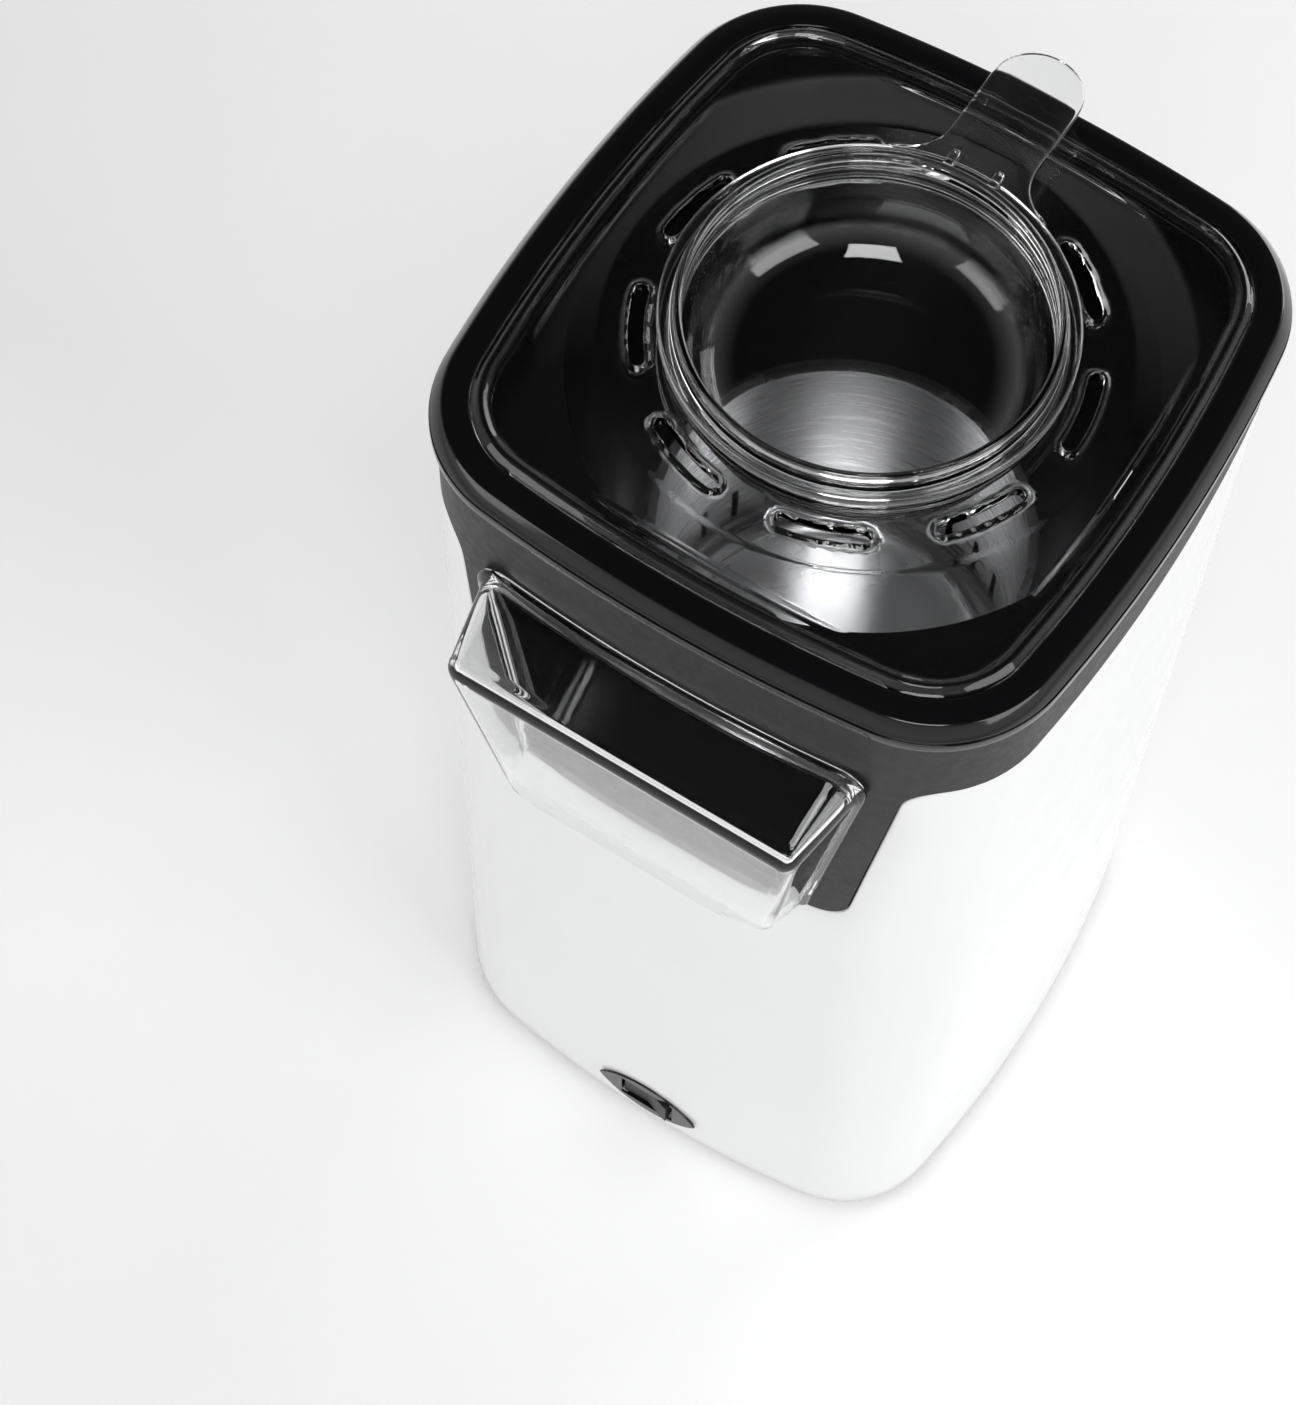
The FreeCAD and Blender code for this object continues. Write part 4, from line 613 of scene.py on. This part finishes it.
def build_lid():
    """Clear lid sheet: beaded edge, shallow cone, plateau with lipped slots and the cup's hole."""
    turns, steps = 400, 60
    edge = RING.inset(LID_EDGE)
    top_rows, low_rows, points = [], [], []
    rims = []
    for k in range(turns):
        angle = 2 * math.pi * k / turns
        out = (math.cos(angle), math.sin(angle))
        near, far = CUP_HOLE, 120.0
        for _ in range(40):
            middle = (near + far) / 2
            if edge.depth(middle * out[0], middle * out[1]) > 0:
                near = middle
            else:
                far = middle
        rims.append((out, near))
    for side in (1, -1):
        rows = top_rows if side > 0 else low_rows
        for step in range(steps + 1):
            row = []
            for out, reach in rims:
                radius = CUP_HOLE + (reach - CUP_HOLE) * step / steps
                x, y = radius * out[0], radius * out[1]
                height = RING_TOP + lid_form(x, y)
                if side > 0:
                    height += ridge(RING.depth(x, y) - LID_EDGE - BEAD_INSET, BEAD_HALF_WIDE, BEAD_HIGH)
                    from_lip = slot_distance(x, y) - SLOT_HALF_WIDE - SLOT_LIP / 2
                    height += ridge(from_lip, SLOT_LIP / 2 + 0.25, SLOT_LIP_HIGH)
                    height -= LID_RIM_DROP if step in (0, steps) else 0.0
                else:
                    height -= LID_RIM_WALL if step == steps else LID_WALL
                row.append(len(points))
                points.append((x, y, height))
            rows.append(row)
    faces = grid_faces(top_rows, across_closed=True)
    faces += grid_faces(low_rows, across_closed=True)
    faces += grid_faces([top_rows[0], low_rows[0]], across_closed=True)
    faces += grid_faces([top_rows[-1], low_rows[-1]], across_closed=True)
    sheet = plain_mesh("lid_sheet", points, faces)
    cutters = [slot_cutter(middle) for middle in slot_turns()]
    cut = combine(sheet, plain_mesh("slots", *joined(*cutters)), "DIFFERENCE")
    finish_piece("lid_piece", cut, clear, "cover", ["lid_window"], 60.0)


def slot_cutter(middle):
    """A closed form that cuts one slot."""
    path = []
    for side, turn, start in ((1, SLOT_HALF_TURN, 0.0), (-1, -SLOT_HALF_TURN, math.pi)):
        for step in range(13):
            angle = middle + turn + start + math.pi * step / 12
            x = SLOT_RING * math.cos(middle + turn) + SLOT_HALF_WIDE * math.cos(angle)
            y = SLOT_RING * math.sin(middle + turn) + SLOT_HALF_WIDE * math.sin(angle)
            path.append((x, y))
        inner = SLOT_RING - side * SLOT_HALF_WIDE
        for step in range(1, 8):
            angle = middle + turn * (1 - step / 4)
            path.append((inner * math.cos(angle), inner * math.sin(angle)))
    count = len(path)
    points = [(x, y, RING_TOP - 6) for x, y in path] + [(x, y, PLATEAU_TOP + 6) for x, y in path]
    rows = [list(range(count)), list(range(count, 2 * count))]
    faces = grid_faces(rows, across_closed=True)
    return points, faces + [tuple(rows[0]), tuple(rows[1])]


# ---------------------------------------------------------------- measuring cup

def build_cup():
    """Clear cup: lathe-turned bowl and rims, tab handle with hollow roots, and two upright nubs."""
    top, floor = cup_high.z, cup_low.z
    rim = top - 2.8
    rim_low = rim - 3.0
    wall, wall_out, wall_in = 1.8, 42.4, 40.6
    centre, seat_out, rim_out = 0.02, 45.0, 46.0
    seat = PLATEAU_TOP
    seat_top = seat + wall
    profile = rounded([
        (centre, floor), (wall_out, floor, 17.0), (wall_out, seat, 0.4), (seat_out, seat, 0.5),
        (seat_out, seat_top, 0.6), (wall_out, seat_top, 0.8), (wall_out, rim_low, 0.8),
        (rim_out, rim_low, 0.8), (rim_out, rim, 0.9), (wall_out + 0.2, rim, 0.7), (wall_out, top, 0.85),
        (wall_in, top, 0.85), (wall_in, floor + wall, 15.2), (centre, floor + wall)], steps=7)
    bowl = plain_mesh("cup_bowl", *lathe(profile, 180))
    half, near, reach = 11.0, 41.6, cup_high.y
    root_half, neck, neck_radius = 20.0, 47.5, 11.0
    outline = rounded([(root_half, near), (half, neck, neck_radius), (half, reach, half - 0.1),
                       (-half, reach, half - 0.1), (-half, neck, neck_radius), (-root_half, near)], steps=12)
    tab = plain_mesh("cup_tab", *slab(outline, rim - 2.5, rim - 0.35, 0.7))
    cup = combine(bowl, tab, "UNION")
    nub_half, nub_near, nub_far = 1.1, 41.8, 46.6
    for middle in (-5.6, 5.6):
        nub = rounded([(middle - nub_half, nub_near, 0.4), (middle + nub_half, nub_near, 0.4),
                       (middle + nub_half, nub_far, 1.0), (middle - nub_half, nub_far, 1.0)], steps=4)
        cup = combine(cup, plain_mesh("cup_nub", *slab(nub, rim - 1.2, top, 0.5)), "UNION")
    finish_piece("cup_piece", cup, clear, "cup", ["measuring_cup"], 45.0)


def slab(outline, low, high, ease):
    """An outline made into a plate whose top and bottom edges are rounded."""
    middle = Vector((sum(p[0] for p in outline), sum(p[1] for p in outline))) / len(outline)
    count = len(outline)
    inward = []
    for i, here in enumerate(outline):
        along = Vector(outline[(i + 1) % count]) - Vector(outline[i - 1])
        side = Vector((-along.y, along.x)).normalized()
        if side.dot(middle - Vector(here)) < 0 and abs(side.dot((middle - Vector(here)).normalized())) > 0.3:
            side = -side
        inward.append(side)
    points, rows = [], []
    levels = []
    for step in range(5):
        angle = math.pi / 2 * step / 4
        levels.append((low + ease * (1 - math.cos(angle)), ease * (1 - math.sin(angle))))
    levels += [(low + high - height, shift) for height, shift in reversed(levels)]
    for height, shift in levels:
        rows.append(list(range(len(points), len(points) + count)))
        for here, side in zip(outline, inward):
            points.append((here[0] + side.x * shift, here[1] + side.y * shift, height))
    return points, grid_faces(rows, across_closed=True) + [tuple(rows[0]), tuple(rows[-1])]


# ---------------------------------------------------------------- clear hood over the chute

HOOD_WALL = 2.6
HOOD_EDGE = 4.2
NECK_HALF_TOP, NECK_HALF_LOW, NECK_LOW, NECK_CORNER = 49.7, 39.0, 204.2, 7.0
FRONT_HALF_TOP, FRONT_HALF_LOW, FRONT_LOW, FRONT_CORNER = 46.0, 37.5, 207.2, 4.0
FRONT_TOP = 268.5
NECK_BEAD = 2.6
HOOD_LEAN = math.tan(math.radians(7.8))


def collar_front(x):
    """How far forward the collar's face stands at x, near its upper edge."""
    radius = HOUSE_TOP.side
    return -(math.sqrt(radius * radius - x * x) - (radius - HOUSE_TOP.half_y)) - 0.35


def hood_section(share, grow, radius):
    """The hood's arch at share of the way from the neck to the front: up the left, over, down the right."""
    half_top = NECK_HALF_TOP + (FRONT_HALF_TOP - NECK_HALF_TOP) * share + grow
    half_low = NECK_HALF_LOW + (FRONT_HALF_LOW - NECK_HALF_LOW) * share + grow
    top = hood_high.z + (FRONT_TOP - hood_high.z) * share + grow
    low = NECK_LOW + (FRONT_LOW - NECK_LOW) * share
    arch = rounded([(-half_low, low), (-half_top, top, radius), (half_top, top, radius), (half_low, low)],
                   steps=8, closed=False)
    filled = []
    for i in range(len(arch) - 1):
        first, last = Vector(arch[i]), Vector(arch[i + 1])
        pieces = 16 if i in (0, len(arch) - 2) else (24 if i == len(arch) // 2 - 1 else 1)
        filled += [tuple(first.lerp(last, k / pieces)) for k in range(pieces)]
    return filled + [arch[-1]]


def hood_shell(inset, edge):
    """One skin of the hood: rows from the neck to the front wall, and the front wall's rows."""
    rows = []
    front_reach = -hood_low.y - inset
    # each neck row: its fixed y or None, how far it swells, and how far it stands off the collar
    neck = [(hood_high.y, 0.0, None), (None, 0.0, 0.6), (None, 0.0, 0.15), (None, 1.0, 0.0),
            (None, 1.5, -0.45), (None, 1.7, -1.1), (None, 1.5, -1.75), (None, 1.0, -2.2), (None, 0.1, -2.5)]
    if inset > 0:
        neck = [(hood_high.y, 0.0, None), (None, 0.0, -1.0)]
    for fixed, grow, off in neck:
        section = hood_section(0.0, grow - inset, max(1.6, NECK_CORNER - inset))
        rows.append([(x, fixed if fixed is not None else collar_front(x) + off, z) for x, z in section])
    for step in range(1, 13):
        share = step / 12
        corner = NECK_CORNER - (NECK_CORNER - FRONT_CORNER) * share - inset
        section = hood_section(share, -inset, max(1.6, corner))
        line = []
        for x, z in section:
            start = collar_front(x) - NECK_BEAD
            end = -(front_reach - edge) + (FRONT_TOP - z) * HOOD_LEAN
            line.append((x, start + (end - start) * share, z))
        rows.append(line)
    for step in range(1, 9):
        angle = math.pi / 2 * step / 8
        shrink = edge * (1 - math.cos(angle))
        section = hood_section(1.0, -inset - shrink, max(1.2, FRONT_CORNER - inset - shrink * 0.6))
        rows.append([(x, -(front_reach - edge) + (FRONT_TOP - z) * HOOD_LEAN - edge * math.sin(angle), z)
                     for x, z in section])
    return rows


def build_hood():
    """Clear hood: neck with a bead against the collar, arch, rounded edges and leaning front, open below."""
    points, faces, rims, necks = [], [], [], []
    for inset, edge in ((0.0, HOOD_EDGE), (HOOD_WALL, HOOD_EDGE - HOOD_WALL)):
        rows = []
        for line in hood_shell(inset, edge):
            rows.append(list(range(len(points), len(points) + len(line))))
            points += line
        faces += grid_faces(rows)
        last = rows[-1]
        legs = 16
        across = 24
        sheet = []
        for k in range(legs + 1):
            left, right = Vector(points[last[k]]), Vector(points[last[-1 - k]])
            line = [last[k]]
            for step in range(1, across):
                line.append(len(points))
                points.append(tuple(left.lerp(right, step / across)))
            sheet.append(line + [last[-1 - k]])
        faces += grid_faces(sheet)
        faces.append(tuple(sheet[-1]) + tuple(reversed(last[legs + 1:-1 - legs])))
        rims.append([row[0] for row in rows] + sheet[0][1:-1] + [row[-1] for row in reversed(rows)])
        necks.append(rows[0])
    lip = []
    for a, b in zip(*rims):
        first, last = Vector(points[a]), Vector(points[b])
        middle = (first + last) / 2
        radius = (last - first).length / 2
        line = [a]
        for step in range(1, 6):
            angle = math.pi * step / 6
            dip = Vector((0, 0, 1)) * radius * 0.8 * math.sin(angle)
            spot = middle + (first - middle) * math.cos(angle) - dip
            line.append(len(points))
            points.append(tuple(spot))
        lip.append(line + [b])
    faces += grid_faces(lip)
    faces += grid_faces(necks)
    faces += [tuple(lip[0]), tuple(lip[-1])]
    mesh_object("hood_piece", points, faces, clear, "housing", ["chute_hood"], 60.0)


# ---------------------------------------------------------------- white shell

APRON_HALF_TOP = 57.5
APRON_HALF_LOW = 48.5
APRON_LOW = 200.0
SEAM = 0.35


def apron_path(gap):
    """The shell's upper edge across the front, left to right: (x, height), dipping round the apron."""
    low, foot = COLLAR_LOW - gap, APRON_LOW - gap
    wide, narrow = APRON_HALF_TOP + gap, APRON_HALF_LOW + gap
    corners = [(-66.0, low), (-wide, low, 9.0), (-narrow, foot, 10.0), (narrow, foot, 10.0), (wide, low, 9.0),
               (66.0, low)]
    path = rounded(corners, steps=14, closed=False)
    filled = []
    for first, last in zip(path, path[1:]):
        first, last = Vector(first), Vector(last)
        pieces = max(1, round((last - first).length / 2.5))
        filled += [tuple(first.lerp(last, k / pieces)) for k in range(pieces)]
    return filled + [path[-1]]


def front_place(x, height):
    """The pillow place whose point at this height has this x, on the front."""
    low, high = 5.0, 8.0
    for _ in range(40):
        middle = (low + high) / 2
        if house_point(middle, height, 0.0)[0] < x:
            low = middle
        else:
            high = middle
    return low


def side_turns(path):
    """Inward direction, in the (x, height) plane, at each point of the shell's edge."""
    turns = []
    for i, here in enumerate(path):
        along = Vector(path[min(i + 1, len(path) - 1)]) - Vector(path[max(i - 1, 0)])
        turns.append(Vector((along.y, -along.x)).normalized())
    return turns


def shell_columns():
    """The shell's upper edge all round: (x or None, place, height, edge direction)."""
    path = apron_path(SEAM)
    found = [(x, None, height, turn) for (x, height), turn in zip(path, side_turns(path))]
    start, stop = front_place(66.0, COLLAR_LOW), front_place(-66.0, COLLAR_LOW) + 8.0
    steps = 200
    for step in range(1, steps):
        found.append((None, start + (stop - start) * step / steps, COLLAR_LOW - SEAM, Vector((0.0, -1.0))))
    return found


def prism(path, near, far):
    """A closed form from an (x, height) path, running back from near to far."""
    count = len(path)
    points = [(x, near, z) for x, z in path] + [(x, far, z) for x, z in path]
    rows = [list(range(count)), list(range(count, 2 * count))]
    return points, grid_faces(rows, across_closed=True) + [tuple(rows[0]), tuple(rows[1])]


def switch_cutter():
    """A lens that opens the shell behind the switch's bezel."""
    low, high = box_mm("switch_bezel")
    flange = 0.8
    wide, tall = high.x - flange, (high.z - low.z) / 2 - flange
    radius = (wide * wide + tall * tall) / (2 * tall)
    turn = math.asin(wide / radius)
    centre = (high.z + low.z) / 2
    path = []
    for side in (1, -1):
        for step in range(24):
            angle = side * turn * (1 - step / 12)
            rise = radius * math.cos(angle) - radius + tall
            path.append((radius * math.sin(angle), centre + side * rise))
    return prism(path, low.y - 10, high.y + 10)


def inlet_cutter():
    """A round hole that opens the shell behind the cord inlet."""
    low, high = box_mm("cord_inlet")
    radius, centre = high.x - 2.0, (high.z + low.z) / 2
    path = []
    for step in range(48):
        angle = math.pi * step / 24
        path.append((radius * math.cos(angle), centre + radius * math.sin(angle)))
    return prism(path, low.y - 10, high.y + 10)


def build_shell():
    """White shell: tapering pillow, upper edge eased all round the collar and its apron."""
    ease = 0.55
    columns = shell_columns()
    eased = [(ease * (1 - math.cos(math.pi / 2 * k / 4)), ease * (1 - math.sin(math.pi / 2 * k / 4)))
             for k in range(5)]
    lows = 40
    levels = [("foot", k) for k in (3, 2, 1)] + [("wall", k / lows) for k in range(lows + 1)]
    levels += [("edge", k) for k in range(1, 5)] + [("inner_edge", 0)]
    levels += [("inner", k / 12) for k in range(13)]
    points, rows = [], []
    for kind, step in levels:
        row = []
        for x, place, height, turn in columns:
            depth, back = 0.0, ease
            if kind == "edge":
                depth, back = eased[step]
            elif kind == "inner_edge":
                depth, back = WALL - 0.1, 0.0
            top_x = None if x is None else x + turn.x * back
            top_height = height + turn.y * back
            if kind in ("edge", "inner_edge"):
                spot_x, spot_height = top_x, top_height
            elif kind == "foot":
                turned = math.pi / 2 * (1 + step) / 4
                spot_x, spot_height = top_x, SHELL_LOW + ease * (1 - math.sin(turned))
                depth = ease * (1 - math.cos(turned))
            elif kind == "wall":
                low = SHELL_LOW + ease
                spot_x, spot_height = top_x, low + (top_height - low) * step
            else:
                depth = WALL
                spot_x, spot_height = top_x, height + turn.y * 0.1 + (SHELL_LOW - height) * step
            at = place if spot_x is None else front_place(spot_x, spot_height)
            row.append(len(points))
            points.append(house_point(at, spot_height, depth))
        rows.append(row)
    faces = grid_faces(rows, across_closed=True, down_closed=True)
    skin = plain_mesh("shell_skin", points, faces)
    for cutter in (switch_cutter(), inlet_cutter()):
        skin = combine(skin, plain_mesh("opening", *cutter), "DIFFERENCE")
    finish_piece("shell_piece", skin, white, "housing", ["housing_shell"], 50.0)


build_top_ring()
build_shell()
build_hood()
build_lid()
build_cup()


# ---------------------------------------------------------------- stage, light and camera

def plane(name, half_x, half_y, subdivisions=1):
    """A flat grid on the floor plane."""
    mesh = bmesh.new()
    bmesh.ops.create_grid(mesh, x_segments=subdivisions, y_segments=subdivisions, size=1.0)
    bmesh.ops.scale(mesh, vec=(half_x, half_y, 1.0), verts=mesh.verts)
    data = bpy.data.meshes.new(name)
    mesh.to_mesh(data)
    mesh.free()
    made = bpy.data.objects.new(name, data)
    scene.collection.objects.link(made)
    return made


def area_light(name, place, aim, size, power, tall=None):
    """A soft rectangular lamp at place, facing aim."""
    data = bpy.data.lights.new(name, "AREA")
    data.shape = "RECTANGLE"
    data.size = size
    data.size_y = tall or size
    data.energy = power
    lamp = bpy.data.objects.new(name, data)
    scene.collection.objects.link(lamp)
    lamp.location = place
    lamp.rotation_euler = (Vector(aim) - Vector(place)).to_track_quat("-Z", "Y").to_euler()
    return lamp


FLOOR_HALF = 3.0
floor = plane("floor", FLOOR_HALF, FLOOR_HALF, 8)
floor_paint = Paint("floor_paint", (0.90, 0.90, 0.90), 0.6)
floor_paint.tone(floor_paint.noise(3.0, 2.0), 0.004)
floor_paint.vary_roughness(floor_paint.noise(30.0, 3.0), 0.05)
floor_paint.shine(Emission_Color=(1.0, 1.0, 1.0, 1.0), Emission_Strength=0.22)
floor.data.materials.append(floor_paint.material)

middle = Vector((0.0, 0.0, 0.16))
area_light("front_left", (-1.0, -1.2, 0.8), middle, 0.9, 6.0)
area_light("right", (1.5, -0.2, 0.9), middle, 1.0, 10.5)
area_light("back", (0.5, 1.8, 0.6), middle, 1.2, 16.0)
area_light("high_front", (0.5, -0.9, 1.8), middle, 0.7, 10.5)

world = bpy.data.worlds.new("studio")
world.use_nodes = True
sky = world.node_tree
way = sky.nodes.new("ShaderNodeTexCoord")
parts = sky.nodes.new("ShaderNodeSeparateXYZ")
fade = sky.nodes.new("ShaderNodeValToRGB")
fade.color_ramp.elements[0].position = 0.10
fade.color_ramp.elements[0].color = (1.0, 1.0, 1.0, 1.0)
fade.color_ramp.elements[1].position = 0.80
fade.color_ramp.elements[1].color = (0.035, 0.035, 0.038, 1.0)
sky.links.new(way.outputs["Generated"], parts.inputs["Vector"])
sky.links.new(parts.outputs["Z"], fade.inputs["Fac"])
sky.links.new(fade.outputs["Color"], sky.nodes["Background"].inputs["Color"])
sky.nodes["Background"].inputs["Strength"].default_value = 0.80
scene.world = world
scene.view_settings.view_transform = "Standard"

# the camera looks down at the front, from the right and high up
CAMERA_PLACE = Vector((0.16790, -0.36282 + AXIS_Y * MM, 0.90933))
CAMERA_YAW = 0.54726
CAMERA_PITCH = 1.09974
CAMERA_ROLL = 0.027676
CAMERA_LENS = 84.49

sight = Vector((-math.sin(CAMERA_YAW) * math.cos(CAMERA_PITCH), math.cos(CAMERA_YAW) * math.cos(CAMERA_PITCH),
                -math.sin(CAMERA_PITCH)))
level = sight.cross(Vector((0, 0, 1))).normalized()
upward = level.cross(sight)
right = level * math.cos(CAMERA_ROLL) + upward * math.sin(CAMERA_ROLL)
up = upward * math.cos(CAMERA_ROLL) - level * math.sin(CAMERA_ROLL)
camera = bpy.data.objects.new("camera", bpy.data.cameras.new("camera"))
scene.collection.objects.link(camera)
camera.data.lens = CAMERA_LENS
camera.data.sensor_width = 36.0
camera.data.clip_start = 0.01
camera.matrix_world = Matrix.Translation(CAMERA_PLACE) @ Matrix((right, up, -sight)).transposed().to_4x4()
scene.camera = camera
